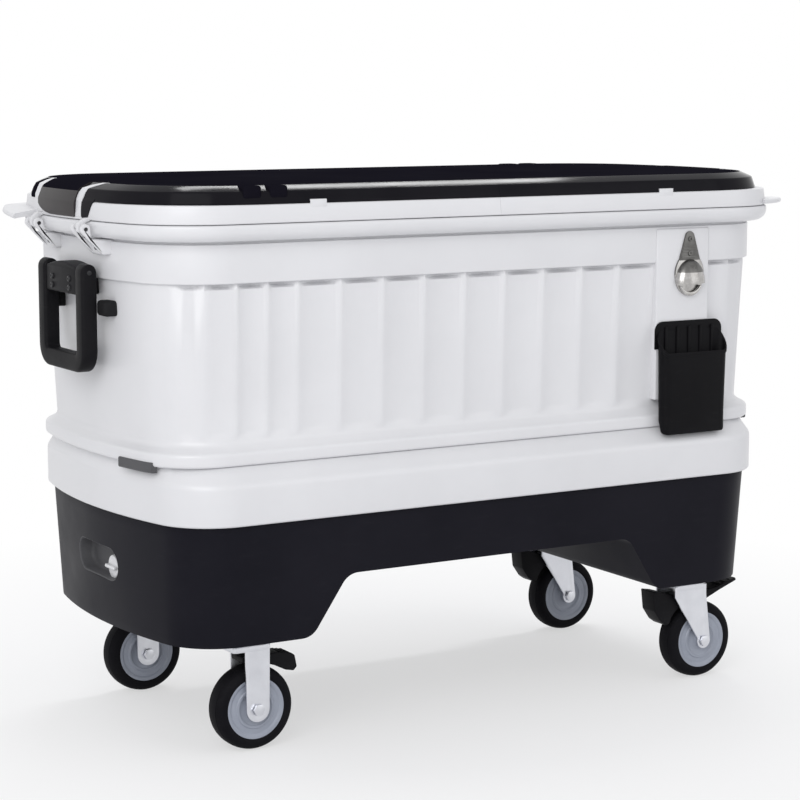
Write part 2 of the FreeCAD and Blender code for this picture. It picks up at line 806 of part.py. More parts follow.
# Rubber bumpers that the bails rest on.
bumper_box = box(
    "bumper_box",
    (handle_back + get("plug_gap"), -get("wall_high_length") + get("wall_bite")),
    across(get("bumper_half"), -get("bumper_y")),
    across(get("bumper_tall") * 0.5, get("bumper_height")),
)
near_bumper = cut("near_bumper", bumper_box, tub_outer)
left_bumpers = group("left_bumpers", near_bumper, mirrored("far_bumper", near_bumper, (0, 1, 0)))
keep("handle_bumpers", group("handle_bumpers", left_bumpers, mirrored("right_bumpers", left_bumpers)))


# Screws: a head on the face and a shank driven into the wall behind it.
def screw(name, axis, face, tip, centre):
    return fuse(
        name,
        rod(name + "_head", axis, get("screw_head"), face - get("screw_head_thick"), face, centre),
        rod(name + "_shank", axis, get("screw_radius"), face, tip, centre),
    )


shank_end = -get("band_length") + get("band_wall")
mount_screw_heights = [get("mount_bottom") + get("mount_screw_" + level) for level in ("low", "high")]
mount_screws = []
for side in (-1, 1):
    for height in mount_screw_heights:
        spot = (get("mount_screw_y") * side, height)
        mount_screws.append(screw("mount_screw%d" % len(mount_screws), "x", mount_face, shank_end, spot))
left_screws = group("left_mount_screws", *mount_screws)
keep("handle_screws", group("handle_screws", left_screws, mirrored("right_mount_screws", left_screws)))

bracket_spot = (near_hinge, get("hinge_foot") + get("ear_chamfer"))
bracket_screw = screw("bracket_screw", "x", bracket_face, shank_end, bracket_spot)
far_screw = mirrored("far_bracket_screw", bracket_screw, (0, 1, 0))
left_screws = group("left_bracket_screws", bracket_screw, far_screw)
keep("hinge_screws", group("hinge_screws", left_screws, mirrored("right_bracket_screws", left_screws)))

# Black clips that lock the tub flange to the belt near the two front corners.
clip_plan = flange.inset(-get("clip_proud"), get("clip_low"))
clip_ring = loft("clip_ring", clip_plan, clip_plan.at(get("clip_high")))
clip_box = box("clip_box", (-far, 0), across(get("clip_half"), -get("clip_y")), (0, tall))
near_clip = cut("near_clip", common("clip_blank", clip_ring, clip_box), tub_outer, belt_outer)
keep("tub_clips", group("tub_clips", near_clip, mirrored("right_clip", near_clip)))

# Bottle opener on a white backplate at the right of the front.
opener_x = get("opener_x")
plate_face = -get("plate_front")
hook_spots = [opener_x + get("hook_x") * side for side in (-1, 1)]
hook_room = 1
hook_slots = [
    box(
        "hook_slot%d" % order,
        across(get("hook_half") + hook_room, spot),
        (plate_face - 1, plate_face + 14),
        (get("hook_low") - hook_room, get("hook_high") + get("hook_lift") + hook_room),
    )
    for order, spot in enumerate(hook_spots)
]
plate_blank = box(
    "plate_blank",
    across(get("plate_half"), get("plate_x")),
    (plate_face, -get("wall_low_depth") + get("wall_bite")),
    (get("plate_bottom"), get("plate_top")),
)
keep("opener_backplate", cut("opener_backplate", plate_blank, tub_outer, *hook_slots))

opener_sheet = get("opener_sheet")
opener_face = plate_face - opener_sheet
hood_face = plate_face - get("opener_depth")
disc_centre = (opener_x, get("opener_disc"))
opener_radius = get("opener_radius")
opener_neck = prism(
    "opener_neck",
    "xz",
    [
        (opener_x - get("neck_flare"), get("opener_disc") + get("neck_foot")),
        (opener_x + get("neck_flare"), get("opener_disc") + get("neck_foot")),
        (opener_x + get("opener_neck"), get("opener_top")),
        (opener_x - get("opener_neck"), get("opener_top")),
    ],
    opener_face,
    plate_face,
)
opener_disc = rod("opener_disc", "y", opener_radius, opener_face, plate_face, disc_centre)
hood_round = rod("hood_round", "y", opener_radius, hood_face, plate_face, disc_centre)
hood_room = rod(
    "hood_room", "y", opener_radius - opener_sheet, hood_face + opener_sheet, plate_face, disc_centre
)
hood_half = box(
    "hood_half",
    across(opener_radius + 1, opener_x),
    (hood_face - 1, plate_face + 1),
    (get("hood_low"), get("opener_top")),
)
opener_hood = common("opener_hood", cut("hood_shell", hood_round, hood_room), hood_half)
opener_tooth = box(
    "opener_tooth",
    across(get("tooth_half"), opener_x),
    (opener_face - get("tooth_reach"), opener_face),
    (get("tooth_low"), get("tooth_low") + get("tooth_thick")),
)
keep("bottle_opener", fuse("bottle_opener", opener_neck, opener_disc, opener_hood, opener_tooth))
screw_tip = -get("band_depth") + get("band_wall")
opener_screws = [
    screw("opener_screw_" + level, "y", opener_face, screw_tip, (opener_x, get("opener_screw_" + level)))
    for level in ("low", "high")
]
keep("opener_screws", group("opener_screws", *opener_screws))

# Black cap bin with sloping sides, hung on the backplate by two hooks. Its heel steps forward over
# the tub's flange and the slope of the belt.
bin_back = -get("bin_back")
bin_front = -get("bin_front")
bin_wall = get("bin_wall")
heel_face = bin_back - get("bin_heel_set")
heel_low = get("bin_bottom") + get("bin_heel_rise")
bin_block = prism(
    "bin_block",
    "yz",
    [
        (bin_back, get("bin_heel")),
        (bin_back, get("bin_back_top")),
        (bin_front, get("bin_rim")),
        (bin_front, get("bin_bottom")),
        (heel_face, heel_low),
    ],
    *across(get("bin_half"), opener_x),
)
room_top = get("bin_back_top") + 1
bin_room = prism(
    "bin_room",
    "yz",
    [
        (bin_back - bin_wall, get("bin_heel")),
        (bin_back - bin_wall, room_top),
        (bin_front + bin_wall, room_top),
        (bin_front + bin_wall, get("bin_bottom") + bin_wall),
        (heel_face - bin_wall, heel_low + bin_wall),
    ],
    *across(get("bin_half") - bin_wall, opener_x),
)
hook_back = bin_back + get("hook_reach")
hook_sheet = get("hook_sheet")
hooks = []
for order, spot in enumerate(hook_spots):
    width = across(get("hook_half"), spot)
    arm_height = (get("hook_high") - hook_sheet * 2, get("hook_high"))
    tip_height = (get("hook_low"), get("hook_high"))
    hooks.append(box("hook_arm%d" % order, width, (bin_back - 1, hook_back), arm_height))
    hooks.append(box("hook_tip%d" % order, width, (hook_back - hook_sheet, hook_back), tip_height))
keep("cap_bin", fuse("cap_bin", cut("bin_tray", bin_block, bin_room), *hooks))


# Side profiles of the brake rockers, ahead of and behind the swivel axis, and their height from the floor.
# The left casters have a plain rocker with a shoe over the tread and a blunt pedal behind. On the right
# ones the rocker also carries a guard that hangs ahead of the wheel, and its pedal is a thin lever.
rocker_points = {
    "left": [
        (-10, 141),
        (28, 139),
        (32, 135.5),
        (46, 131),
        (66, 121),
        (80, 118),
        (86, 124),
        (82, 143),
        (76, 147),
        (50, 151),
        (-10, 149.5),
    ],
    "right": [
        (-70, 163),
        (-66, 128),
        (-52, 108),
        (-40, 100),
        (-33, 103),
        (-30, 112),
        (-22, 122),
        (0, 137),
        (28, 140),
        (32, 137.5),
        (46, 138),
        (50, 140),
        (74, 150),
        (112, 164),
        (110, 169),
        (70, 157),
        (40, 152.5),
        (-20, 150),
        (-52, 160),
    ],
}


# Swivel casters with a rocking brake pedal over the wheel. The left ones have straight fork legs.
def caster(name, end, y):
    x = get(end + "_caster_x")
    wheel_x = x + get(end + "_trail")
    wheel_centre = (wheel_x, get("wheel_radius"))
    plate_low = get("base_bottom") - get("plate_thick")
    plate_sides = (across(get("plate_long"), x), across(get("plate_wide"), y))
    head_low = get("crown_bottom") - get("kinghead_thick")
    head_high = get("crown_bottom") - get("swivel_gap")
    plate = fuse(
        name + "_plate_blank",
        box(name + "_pad", *plate_sides, (plate_low, get("base_bottom"))),
        rod(name + "_race", "z", get("race_radius"), get("race_bottom"), plate_low, (x, y)),
        rod(name + "_kingpin", "z", get("kingpin_radius"), head_low, plate_low, (x, y)),
        rod(name + "_kinghead", "z", get("kinghead_radius"), head_low, head_high, (x, y)),
    )
    holes = []
    for along in (-1, 1):
        for over in (-1, 1):
            spot = (x + get("bolt_x") * along, y + get("bolt_y") * over)
            hole_name = "%s_hole%d" % (name, len(holes))
            holes.append(rod(hole_name, "z", bolt_hole, plate_low - 1, get("base_bottom") + 1, spot))
    keep(name + "_caster_plate", cut(name + "_caster_plate", plate, *holes))

    fork_outer = get("fork_inner") + get("fork_sheet")
    crown_ends = (x - get("crown_lead"), x + get("crown_tail"))
    crown_height = (get("crown_bottom"), get("race_bottom") - get("swivel_gap"))
    crown = box(name + "_crown", crown_ends, across(fork_outer, y), crown_height)
    boss = get(end + "_boss")
    leg_profile = [
        (x - get(end + "_leg_lead"), get("crown_bottom") + 1),
        (wheel_x - boss, get("wheel_radius")),
        (wheel_x + boss, get("wheel_radius")),
        (x + get(end + "_leg_tail"), get("crown_bottom") + 1),
    ]
    cheeks = []
    for order, side in enumerate((-fork_outer, get("fork_inner"))):
        span = (y + side, y + side + get("fork_sheet"))
        cheeks.append(prism("%s_cheek%d" % (name, order), "xz", leg_profile, *span))
        cheeks.append(rod("%s_boss%d" % (name, order), "y", boss, *span, wheel_centre))
    pivot = (x + get("brake_x"), get("brake_height"))
    play = get("pin_play")
    through = across(fork_outer + 1, y)
    king_span = (get("crown_bottom") - 1, get("race_bottom"))
    fork = cut(
        name + "_fork",
        fuse(name + "_fork_blank", crown, *cheeks),
        rod(name + "_king_hole", "z", get("kingpin_radius") + play, *king_span, (x, y)),
        rod(name + "_axle_hole", "y", get("axle_radius") + play, *through, wheel_centre),
        rod(name + "_brake_hole", "y", get("brake_pin") + play, *through, pivot),
    )
    keep(name + "_caster_fork", fork)

    front_face, back_face = across(fork_outer, y)
    head, thick = get("axle_head"), get("axle_head_thick")
    axle = fuse(
        name + "_axle_blank",
        rod(name + "_shaft", "y", get("axle_radius"), front_face, back_face, wheel_centre),
        rod(name + "_axle_head", "y", head, front_face - thick, front_face, wheel_centre),
        rod(name + "_axle_nut", "y", head, back_face, back_face + thick, wheel_centre),
    )
    keep(name + "_wheel_axle", axle)

    wheel_span = across(get("wheel_half"), y)
    hub_bore = rod(name + "_hub_bore", "y", get("axle_radius") + play, *wheel_span, wheel_centre)
    hub_span = across(get("wheel_half") - 1, y)
    hub_disc = rod(name + "_hub_disc", "y", get("hub_radius"), *hub_span, wheel_centre)
    keep(name + "_wheel_hub", cut(name + "_wheel_hub", hub_disc, hub_bore))
    crown_ball = doc.addObject("Part::Sphere", name + "_tread_crown")
    bind(crown_ball, "Radius", get("wheel_radius"))
    place(crown_ball, (wheel_x, y, get("wheel_radius")))
    tread = rod(name + "_tread", "y", get("wheel_radius"), *wheel_span, wheel_centre)
    tyre_blank = common(name + "_tyre_blank", tread, crown_ball)
    tyre_bore = rod(name + "_tyre_bore", "y", get("hub_radius"), *through, wheel_centre)
    keep(name + "_wheel_tyre", cut(name + "_wheel_tyre", tyre_blank, tyre_bore))

    rocker_profile = [(x + along, up) for along, up in rocker_points[end]]
    rocker = prism(name + "_rocker", "xz", rocker_profile, *across(get("brake_half"), y))
    pins = rod(name + "_trunnion", "y", get("brake_pin"), front_face, back_face, pivot)
    keep(name + "_brake_pedal", fuse(name + "_brake_pedal", rocker, pins))


for end in ("left", "right"):
    for side, over in (("front", -1), ("rear", 1)):
        caster("%s_%s" % (side, end), end, get("caster_y") * over)

# Caster bolts, each with its nut above the leg floor.
caster_bolts = []
plate_under = get("base_bottom") - get("plate_thick")
floor_top = get("base_bottom") + base_wall
head_under = plate_under - get("bolt_head_thick")
nut_top = floor_top + get("bolt_nut_thick")
for order, spot in enumerate(bolt_spots):
    name = "caster_bolt%d" % order
    caster_bolts.append(
        fuse(
            name,
            rod(name + "_head", "z", get("bolt_head"), head_under, plate_under, spot),
            rod(name + "_shank", "z", get("bolt_radius"), plate_under, floor_top, spot),
            rod(name + "_nut", "z", get("bolt_head"), floor_top, nut_top, spot),
        )
    )
keep("caster_bolts", group("caster_bolts", *caster_bolts))

doc.recompute()

faulty = [item.Name for item in doc.Objects if "Invalid" in item.State or "Error" in item.State]
for item in nodes:
    if item.Shape.isNull() or not item.Shape.isValid() or not item.Shape.Solids:
        faulty.append(item.Label)
if faulty:
    raise RuntimeError("faulty objects: " + ", ".join(faulty))

os.makedirs("parts", exist_ok=True)
for item in nodes:
    item.Shape.exportStep("parts/%s.step" % item.Label)
    size = item.Shape.BoundBox
    print("%-24s solids %2d volume %10.0f  z %.1f to %.1f" % (
        item.Label, len(item.Shape.Solids), item.Shape.Volume, size.ZMin, size.ZMax))
print(len(nodes), "nodes")
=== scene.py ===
import bpy
import bmesh
import math
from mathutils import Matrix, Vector


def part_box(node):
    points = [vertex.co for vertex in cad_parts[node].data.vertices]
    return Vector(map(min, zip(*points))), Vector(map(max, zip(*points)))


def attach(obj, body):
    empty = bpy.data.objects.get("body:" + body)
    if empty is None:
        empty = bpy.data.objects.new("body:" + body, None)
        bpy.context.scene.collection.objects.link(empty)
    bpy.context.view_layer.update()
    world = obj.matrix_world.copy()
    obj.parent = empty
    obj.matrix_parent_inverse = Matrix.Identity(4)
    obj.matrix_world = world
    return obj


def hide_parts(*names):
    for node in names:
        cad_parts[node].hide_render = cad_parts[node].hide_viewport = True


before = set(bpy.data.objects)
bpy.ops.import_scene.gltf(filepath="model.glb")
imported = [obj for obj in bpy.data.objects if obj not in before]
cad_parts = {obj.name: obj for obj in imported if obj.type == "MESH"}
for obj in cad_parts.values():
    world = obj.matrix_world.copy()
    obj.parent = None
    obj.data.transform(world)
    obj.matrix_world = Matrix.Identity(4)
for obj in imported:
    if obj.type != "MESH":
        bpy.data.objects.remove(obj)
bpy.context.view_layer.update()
mm = 0.001      # pieces are drawn in millimetres and scaled once, when they are finished
tiny = 0.01
print("frame loaded:", len(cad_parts), "nodes")

# Shared node groups: surface grain and rubbed marks


def newGroup(name, inputs, outputs):
    group = bpy.data.node_groups.new(name, "ShaderNodeTree")
    for label, kind in inputs:
        group.interface.new_socket(label, in_out="INPUT", socket_type=kind)
    for label, kind in outputs:
        group.interface.new_socket(label, in_out="OUTPUT", socket_type=kind)
    return group, group.nodes.new("NodeGroupInput"), group.nodes.new("NodeGroupOutput")


def link(source, output, target, socket):
    source.id_data.links.new(source.outputs[output], target.inputs[socket])


def addNoise(tree, detail, roughness=0.5):
    noise = tree.nodes.new("ShaderNodeTexNoise")
    noise.inputs["Detail"].default_value = detail
    noise.inputs["Roughness"].default_value = roughness
    return noise


def addRange(tree, low, high, first=0.0, last=1.0):
    ranged = tree.nodes.new("ShaderNodeMapRange")
    for label, value in (("From Min", low), ("From Max", high), ("To Min", first), ("To Max", last)):
        ranged.inputs[label].default_value = value
    return ranged


def addMath(tree, operation):
    sums = tree.nodes.new("ShaderNodeMath")
    sums.operation = operation
    return sums


def addColourMix(tree):
    mix = tree.nodes.new("ShaderNodeMix")
    mix.data_type = "RGBA"
    return mix


def buildGrain():
    group, given, result = newGroup(
        "mouldedGrain",
        (("Vector", "NodeSocketVector"), ("Grain Scale", "NodeSocketFloat"),
         ("Patch Scale", "NodeSocketFloat")),
        (("Grain", "NodeSocketFloat"), ("Patch", "NodeSocketFloat")))
    fine = addNoise(group, 3)
    broad = addNoise(group, 4, 0.6)
    spread = addRange(group, 0.3, 0.7)
    link(given, "Vector", fine, "Vector")
    link(given, "Grain Scale", fine, "Scale")
    link(given, "Vector", broad, "Vector")
    link(given, "Patch Scale", broad, "Scale")
    link(broad, "Fac", spread, "Value")
    link(fine, "Fac", result, "Grain")
    link(spread, "Result", result, "Patch")
    return group


def buildRubs():
    group, given, result = newGroup(
        "rubbedMarks",
        (("Vector", "NodeSocketVector"), ("Scale", "NodeSocketFloat")),
        (("Mask", "NodeSocketFloat"),))
    stretch = group.nodes.new("ShaderNodeMapping")
    stretch.inputs["Scale"].default_value = (1.0, 1.0, 4.0)
    marks = addNoise(group, 6, 0.7)
    cut = addRange(group, 0.56, 0.74)
    link(given, "Vector", stretch, "Vector")
    link(stretch, "Vector", marks, "Vector")
    link(given, "Scale", marks, "Scale")
    link(marks, "Fac", cut, "Value")
    link(cut, "Result", result, "Mask")
    return group


grainGroup = buildGrain()
rubGroup = buildRubs()

# Finishes: two shades for the mottle, a roughness range, the grain's size and depth
finishValues = {
    "whitePlastic": {"shades": ((0.70, 0.70, 0.715), (0.74, 0.74, 0.755)), "rough": (0.30, 0.42),
                     "grain": 520, "depth": 0.00006, "patch": 5, "rub": 0.03, "coat": 0.12},
    "baseBlack": {"shades": ((0.0072, 0.007, 0.0112), (0.0102, 0.0098, 0.0146)), "rough": (0.36, 0.5),
                  "grain": 620, "depth": 0.00012, "patch": 6, "rub": 0.02, "specular": 0.07},
    "glossBlack": {"shades": ((0.0085, 0.008, 0.0105), (0.0115, 0.011, 0.0135)), "rough": (0.09, 0.16),
                   "grain": 300, "depth": 0.00001, "patch": 7, "rub": 0.02, "specular": 0.035},
    "deckBlack": {"shades": ((0.0078, 0.0072, 0.0115), (0.0108, 0.0102, 0.0146)), "rough": (0.6, 0.75),
                  "grain": 560, "depth": 0.0002, "patch": 5, "rub": 0.02, "specular": 0.0},
    # panelPaintedSheen: black plastic whose lighter brownish shades are partly painted sheen
    "panelPaintedSheen": {"shades": ((0.026, 0.0228, 0.0236), (0.034, 0.030, 0.0308)), "rough": (0.28, 0.38),
                   "grain": 560, "depth": 0.00006, "patch": 9, "rub": 0.03, "specular": 0.13},
    "handleBlack": {"shades": ((0.0064, 0.0062, 0.0075), (0.0098, 0.0095, 0.011)), "rough": (0.42, 0.56),
                    "grain": 700, "depth": 0.00014, "patch": 14, "rub": 0.04, "specular": 0.08},
    "binBlack": {"shades": ((0.0046, 0.0044, 0.0054), (0.0066, 0.0064, 0.0075)), "rough": (0.4, 0.52),
                 "grain": 680, "depth": 0.00014, "patch": 12, "rub": 0.03, "specular": 0.07},
    "mountGrey": {"shades": ((0.0095, 0.0093, 0.0108), (0.0135, 0.0132, 0.015)), "rough": (0.4, 0.55),
                  "grain": 700, "depth": 0.00014, "patch": 14, "rub": 0.03, "specular": 0.07},
    "recessGrey": {"shades": ((0.075, 0.075, 0.08), (0.10, 0.10, 0.105)), "rough": (0.45, 0.6),
                   "grain": 620, "depth": 0.0001, "patch": 12, "rub": 0.05, "specular": 0.2},
    "softRubber": {"shades": ((0.011, 0.011, 0.012), (0.019, 0.019, 0.020)), "rough": (0.65, 0.8),
                   "grain": 900, "depth": 0.00015, "patch": 20, "rub": 0.06, "specular": 0.1},
    "tyreRubber": {"shades": ((0.007, 0.0068, 0.0085), (0.0105, 0.0102, 0.012)), "rough": (0.5, 0.68),
                   "grain": 850, "depth": 0.0002, "patch": 25, "rub": 0.03, "specular": 0.04},
    "hubGrey": {"shades": ((0.29, 0.315, 0.375), (0.335, 0.36, 0.42)), "rough": (0.32, 0.45),
                "grain": 800, "depth": 0.00008, "patch": 18, "rub": 0.105},
    "foamYellow": {"shades": ((0.62, 0.55, 0.34), (0.72, 0.66, 0.45)), "rough": (0.85, 0.95),
                   "grain": 260, "depth": 0.0012, "patch": 9, "rub": 0.05},
    "zincSteel": {"shades": ((0.64, 0.65, 0.69), (0.71, 0.72, 0.76)), "rough": (0.3, 0.4),
                  "grain": 420, "depth": 0.00004, "patch": 34, "rub": 0.06, "metal": 1.0},
    "blackScrew": {"shades": ((0.02, 0.02, 0.022), (0.045, 0.045, 0.048)), "rough": (0.3, 0.45),
                   "grain": 900, "depth": 0.00004, "patch": 90, "rub": 0.2, "metal": 0.6},
    # openerDarkAndPaintedShade: dark steel for the neck and screws, and painted shade on the top of the hood
    "openerDarkAndPaintedShade": {"shades": ((0.10, 0.098, 0.095), (0.19, 0.187, 0.182)), "rough": (0.26, 0.4),
                   "grain": 500, "depth": 0.00004, "patch": 60, "rub": 0.15, "metal": 1.0},
    "openerSteel": {"shades": ((0.34, 0.33, 0.32), (0.52, 0.51, 0.50)), "rough": (0.16, 0.3),
                    "grain": 500, "depth": 0.00003, "patch": 70, "rub": 0.1, "metal": 1.0},
}


def makeFinish(name, values):
    finish = bpy.data.materials.new(name)
    finish.use_nodes = True
    tree = finish.node_tree
    shader = tree.nodes["Principled BSDF"]
    place = tree.nodes.new("ShaderNodeTexCoord")
    grain = tree.nodes.new("ShaderNodeGroup")
    grain.node_tree = grainGroup
    grain.inputs["Grain Scale"].default_value = values["grain"]
    grain.inputs["Patch Scale"].default_value = values["patch"]
    rubs = tree.nodes.new("ShaderNodeGroup")
    rubs.node_tree = rubGroup
    rubs.inputs["Scale"].default_value = values["patch"] * 3
    link(place, "Object", grain, "Vector")
    link(place, "Object", rubs, "Vector")

    shades = addColourMix(tree)
    darker, lighter = values["shades"]
    shades.inputs["A"].default_value = (*darker, 1)
    shades.inputs["B"].default_value = (*lighter, 1)
    link(grain, "Patch", shades, "Factor")

    rubbed = addColourMix(tree)     # rubbed places turn a little greyer
    rubbed.inputs["B"].default_value = (*[0.5 * channel + 0.12 for channel in lighter], 1)
    share = addMath(tree, "MULTIPLY")
    share.inputs[1].default_value = values["rub"]
    link(rubs, "Mask", share, 0)
    link(share, "Value", rubbed, "Factor")
    link(shades, "Result", rubbed, "A")
    link(rubbed, "Result", shader, "Base Color")

    rough = addRange(tree, 0, 1, *values["rough"])
    link(grain, "Patch", rough, "Value")
    link(rough, "Result", shader, "Roughness")

    bump = tree.nodes.new("ShaderNodeBump")
    bump.inputs["Strength"].default_value = 0.6
    bump.inputs["Distance"].default_value = values["depth"]
    link(grain, "Grain", bump, "Height")
    link(bump, "Normal", shader, "Normal")

    shader.inputs["Metallic"].default_value = values.get("metal", 0.0)
    shader.inputs["Coat Weight"].default_value = values.get("coat", 0.0)
    shader.inputs["Coat Roughness"].default_value = 0.2
    shader.inputs["Specular IOR Level"].default_value = values.get("specular", 0.5)
    return finish


finishes = {name: makeFinish(name, values) for name, values in finishValues.items()}
print("finishes made:", len(finishes))

# Modelling helpers


def vertsOf(geometry):
    return [item for item in geometry if isinstance(item, bmesh.types.BMVert)]


def edgesOf(geometry):
    return [item for item in geometry if isinstance(item, bmesh.types.BMEdge)]


def facesOf(geometry):
    return [item for item in geometry if isinstance(item, bmesh.types.BMFace)]


def linked(verts, kind):
    return list({item for vert in verts for item in getattr(vert, kind)})


def nodeOf(name):
    # the node that a piece is named after: tubShell stands for tub_shell
    return "".join("_" + letter.lower() if letter.isupper() else letter for letter in name)


def finishPiece(name, bm, finish, body="chassis", crease=32):
    bmesh.ops.remove_doubles(bm, verts=bm.verts, dist=tiny)
    bmesh.ops.recalc_face_normals(bm, faces=bm.faces)
    bmesh.ops.scale(bm, vec=(mm, mm, mm), verts=bm.verts)
    mesh = bpy.data.meshes.new(name)
    bm.to_mesh(mesh)
    bm.free()
    mesh.shade_smooth()
    mesh.set_sharp_from_angle(angle=math.radians(crease))
    mesh.materials.append(finishes[finish])
    piece = bpy.data.objects.new(name, mesh)
    bpy.context.collection.objects.link(piece)
    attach(piece, body)
    if nodeOf(name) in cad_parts:
        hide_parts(nodeOf(name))
    return piece


def softenEdges(bm, verts, width, segments=2, sharper=30):
    if width <= 0:
        return
    edges = [edge for edge in linked(verts, "link_edges")
             if len(edge.link_faces) == 2 and edge.calc_face_angle(0) > math.radians(sharper)]
    bmesh.ops.bevel(bm, geom=edges, offset=width, segments=segments, profile=0.5, affect="EDGES",
                    material=-1, clamp_overlap=True)


def both(value):
    return -value, value


def span(middle, half):
    return middle - half, middle + half


def addBlock(bm, alongX, alongY, alongZ, soft=1.0, segments=2):
    low, high = (Vector(corner) for corner in zip(alongX, alongY, alongZ))
    verts = bmesh.ops.create_cube(bm, size=1.0)["verts"]
    bmesh.ops.scale(bm, vec=high - low, verts=verts)
    bmesh.ops.translate(bm, vec=(low + high) / 2, verts=verts)
    softenEdges(bm, verts, soft, segments)


def onPlane(across, depth, first, second):
    if across == "x":
        return Vector((depth, first, second))
    if across == "y":
        return Vector((first, depth, second))
    return Vector((first, second, depth))


def addPrism(bm, outline, across, low, high, soft=0.8, segments=2, sharper=30):
    face = bm.faces.new([bm.verts.new(onPlane(across, low, *point)) for point in outline])
    base = list(face.verts)
    grown = vertsOf(bmesh.ops.extrude_face_region(bm, geom=[face])["geom"])
    bmesh.ops.translate(bm, vec=onPlane(across, high - low, 0, 0), verts=grown)
    bmesh.ops.recalc_face_normals(bm, faces=linked(base + grown, "link_faces"))
    softenEdges(bm, base + grown, soft, segments, sharper)


def addLathe(bm, profile, centre, axis, steps=48):
    # profile: (radius, place along the axis), turned about the axis through centre
    along = Vector(axis).normalized()
    outward = along.orthogonal().normalized()
    verts = [bm.verts.new(Vector(centre) + outward * radius + along * place) for radius, place in profile]
    edges = [bm.edges.new(pair) for pair in zip(verts, verts[1:])]
    bmesh.ops.spin(bm, geom=verts + edges, cent=centre, axis=along, angle=2 * math.pi, steps=steps,
                   use_merge=True, use_duplicate=False)


def arcPoints(centre, radius, first, last, steps):
    turn = [math.radians(first + (last - first) * step / steps) for step in range(steps + 1)]
    return [(centre[0] + radius * math.cos(angle), centre[1] + radius * math.sin(angle)) for angle in turn]


def roundedPath(points, radius, steps=5):
    # a broken line with its inner corners rounded
    path = [points[0]]
    for before, corner, after in zip(points, points[1:], points[2:]):
        corner = Vector(corner)
        back, ahead = Vector(before) - corner, Vector(after) - corner
        half = back.angle(ahead) / 2
        reach = min(radius / math.tan(half), back.length * 0.48, ahead.length * 0.48)
        start, end = corner + back.normalized() * reach, corner + ahead.normalized() * reach
        for step in range(steps + 1):
            share = step / steps
            path.append(tuple(start.lerp(corner, share).lerp(corner.lerp(end, share), share)))
    return path + [points[-1]]


def roundedRect(halfWide, halfHigh, radius, steps=4, centre=(0, 0)):
    points = []
    for turn, (alongX, alongY) in enumerate(((1, 1), (-1, 1), (-1, -1), (1, -1))):
        corner = (centre[0] + alongX * (halfWide - radius), centre[1] + alongY * (halfHigh - radius))
        points += arcPoints(corner, radius, 90 * turn, 90 * turn + 90, steps)
    return points


def addScrew(bm, centre, facing, radius, height):
    shape = ((0, 0.35), (0.30, 0.4), (0.38, 0.96), (0.62, 1), (0.9, 0.7), (1, 0.25), (1, 0), (0, 0))
    profile = [(radius * wide, height * tall) for wide, tall in shape]
    addLathe(bm, profile, centre, facing, steps=20)


def addHexHead(bm, centre, radius, low, high, across="z"):
    outline = arcPoints(centre, radius, 0, 300, 5)
    addPrism(bm, outline, across, low, high, soft=0.7)


def keepSide(bm, point, normal):
    # cuts away what lies on the normal's side and closes the cut
    parts = bm.verts[:] + bm.edges[:] + bm.faces[:]
    cut = bmesh.ops.bisect_plane(bm, geom=parts, dist=tiny / 10, plane_co=point, plane_no=normal,
                                 clear_outer=True)["geom_cut"]
    bmesh.ops.holes_fill(bm, edges=edgesOf(cut), sides=0)


def joinInto(whole, part):
    # moves one bmesh's geometry into another
    holder = bpy.data.meshes.new("holder")
    part.to_mesh(holder)
    part.free()
    whole.from_mesh(holder)
    bpy.data.meshes.remove(holder)


# Plan outlines shared by the tub, belt, base and lids: half length, half depth, corner radius
bowRadius = 957     # the ends of every outline bow gently
cornerSteps = 16
endSteps = 31       # odd, so that no point lies on the middle line
sideSteps = 260
evenStops = [2 * step / sideSteps - 1 for step in range(sideSteps + 1)]


def planSpots(length, depth, corner, stops=evenStops):
    # each spot: x, y, outward normal x, y, and the run from the middle of its long side
    root = math.sqrt((bowRadius - corner) ** 2 - (depth - corner) ** 2)
    turnX = length - bowRadius + root
    swing = math.atan2(depth - corner, root)
    quarter = math.pi / 2 - swing
    spots = [(turnX * stop, -depth, 0, -1, turnX * stop) for stop in stops]
    for step in range(1, cornerSteps + 1):
        angle = quarter * step / cornerSteps
        outX, outY = math.sin(angle), -math.cos(angle)
        run = turnX + corner * angle
        spots.append((turnX + corner * outX, corner - depth + corner * outY, outX, outY, run))
    for step in range(1, endSteps):
        angle = swing * (2 * step / endSteps - 1)
        outX, outY = math.cos(angle), math.sin(angle)
        spots.append((length - bowRadius + bowRadius * outX, bowRadius * outY, outX, outY, length))
    for step in range(cornerSteps):
        angle = swing + quarter * step / cornerSteps
        outX, outY = math.cos(angle), math.sin(angle)
        run = -turnX - corner * (math.pi / 2 - angle)
        spots.append((turnX + corner * outX, depth - corner + corner * outY, outX, outY, run))
    return spots + [(-x, -y, -outX, -outY, run) for x, y, outX, outY, run in spots]


def between(lower, upper, share):
    return [tuple(a + (b - a) * share for a, b in zip(first, last)) for first, last in zip(lower, upper)]


plans = {
    "belt": planSpots(584, 296, 101),
    "neck": planSpots(574, 268, 101),
    "flange": planSpots(591, 272, 104),
    "wallLow": planSpots(574, 257, 108),
    "wallHigh": planSpots(585, 264, 108),
    "band": planSpots(591, 270, 116),
    "lip": planSpots(618, 298.5, 128),
    "mouth": planSpots(540, 220, 80),
    "lidFoot": planSpots(616, 296.5, 126),
    "lidRim": planSpots(613, 293.5, 123),
    "cover": planSpots(613, 293.5, 175),
    "grip": planSpots(658, 282, 120),
}


def ringAt(plan, inset, height, hollow=None):
    spots = plans[plan] if isinstance(plan, str) else plan
    ring = []
    for x, y, outX, outY, run in spots:
        inward = inset + (hollow(run) if hollow else 0)
        ring.append(Vector((x - outX * inward, y - outY * inward, height)))
    return ring


def edgeArc(plan, inset, height, radius, first, last, steps=4):
    # rings round an edge: 0 degrees looks outwards, 90 up
    return [ringAt(plan, inset - out, height + up)
            for out, up in arcPoints((0, 0), radius, first, last, steps)]


